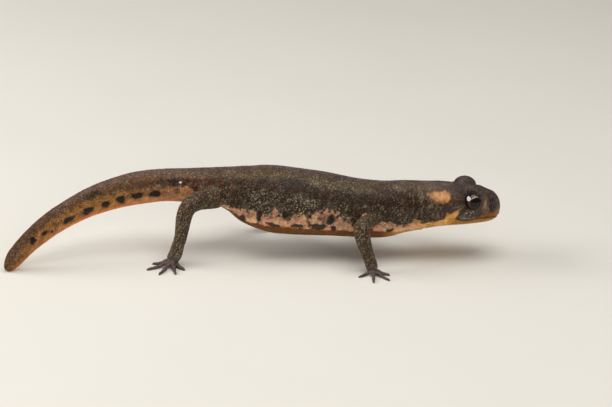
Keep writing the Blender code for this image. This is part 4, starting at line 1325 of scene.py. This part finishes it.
def build_eye(body, shift, side, label, finish):
    """A smooth eyeball with a slightly raised cornea."""
    centre, gaze, across, high = eye_frame(body, side, PUPIL_FORWARD, PUPIL_UP)
    angles = circle(EYE_SIDES)
    flat = np.outer(np.cos(angles), across) + np.outer(np.sin(angles), high)
    circles, off, above = [], [], []
    for turn in np.linspace(EYE_POLE, pi - EYE_POLE, EYE_RINGS):
        radius = EYEBALL_RADIUS + CORNEA_BULGE * np.exp(-((turn / CORNEA_ANGLE) ** 4))
        circles.append(centre + (flat * sin(turn) + gaze * cos(turn)) * radius)
        off.append(np.full(EYE_SIDES, np.degrees(turn)))
        above.append(np.sin(angles) * sin(turn))
    points, faces = tube(circles)
    eye = add_shape("eyeball_" + label, (points - shift) * MM, faces)
    mesh = eye.data
    work = bmesh.new()
    work.from_mesh(mesh)
    bmesh.ops.recalc_face_normals(work, faces=work.faces)
    work.to_mesh(mesh)
    work.free()
    set_attribute(mesh, "off_gaze", np.concatenate(off))
    set_attribute(mesh, "above_gaze", np.concatenate(above))
    mesh.shade_smooth()
    mesh.materials.append(finish)
    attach(eye, "root")
    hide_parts("eye_" + label)
    return eye


def build_floor():
    half = 1.5
    corners = [(-half, -half, 0), (half, -half, 0), (half, half, 0), (-half, half, 0)]
    floor = add_shape("floor", corners, [(0, 1, 2, 3)])
    floor.data.materials.append(floor_material())


def add_light(name, place, target, width, depth, power, mirrored=True):
    """A soft rectangular lamp that faces the target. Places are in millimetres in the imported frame. One that
    isn't mirrored gives no highlight of its own."""
    lamp = bpy.data.lights.new(name, "AREA")
    lamp.shape = "RECTANGLE"
    lamp.size, lamp.size_y = width * MM, depth * MM
    lamp.energy = power
    made = add_object(name, lamp)
    made.location = Vector(place) * MM
    made.rotation_euler = (Vector(target) - Vector(place)).to_track_quat("-Z", "Y").to_euler()
    made.visible_glossy = mirrored
    return made


def build_light():
    add_light("overhead", (40, -60, 420), (0, 0, 8), 420, 320, 1.5)
    add_light("tail_side", (-340, 5, 175), (32, 0, 9), 270, 230, 1.5, mirrored=False)
    add_light("front", (120, -420, 190), (0, 0, 8), 300, 200, 0.7, mirrored=False)
    world = bpy.data.worlds.new("studio")
    bpy.context.scene.world = world
    world.use_nodes = True
    back = world.node_tree.nodes["Background"]
    back.inputs["Color"].default_value = (1.0, 0.94, 0.84, 1.0)
    back.inputs["Strength"].default_value = 0.2
    bpy.context.scene.view_settings.view_transform = "Standard"


def build_catchlight(eyes):
    """A lamp that only the wet eyes mirror, which puts the bright spot on them."""
    group = bpy.data.collections.new("eyeballs")
    for eye in eyes:
        group.objects.link(eye)
    lamp = add_light("catchlight", (-258, -66, 180), (32, 0, 10), 370, 290, 9.0)
    lamp.data.color = (1.0, 0.86, 0.80)
    lamp.visible_diffuse = False
    lamp.light_linking.receiver_collection = group


def build_camera(shift):
    a, e = CAMERA_AZIMUTH, CAMERA_ELEVATION
    back = np.array([sin(a) * cos(e), -cos(a) * cos(e), sin(e)])
    right = np.array([cos(a), sin(a), 0.0])
    up = np.cross(back, right)
    rolled_right = right * cos(CAMERA_ROLL) + up * sin(CAMERA_ROLL)
    rolled_up = up * cos(CAMERA_ROLL) - right * sin(CAMERA_ROLL)
    place = (np.array(LOOK_AT) - shift + back * CAMERA_DISTANCE) * MM
    lens = bpy.data.cameras.new("camera")
    lens.lens, lens.sensor_width = LENS, SENSOR
    lens.clip_start = 0.01
    camera = add_object("camera", lens)
    columns = np.stack([rolled_right, rolled_up, back, place], axis=1)
    camera.matrix_world = Matrix([list(row) for row in columns] + [[0, 0, 0, 1]])
    bpy.context.scene.camera = camera


def main():
    body = Body()
    shift = shift_to_frame(body)
    build_camera(shift)
    build_light()
    build_floor()
    build_skin(body, shift)
    finish = eye_material()
    eyes = [build_eye(body, shift, side, label, finish) for side, label in zip(SIDES, ("left", "right"))]
    build_catchlight(eyes)


main()
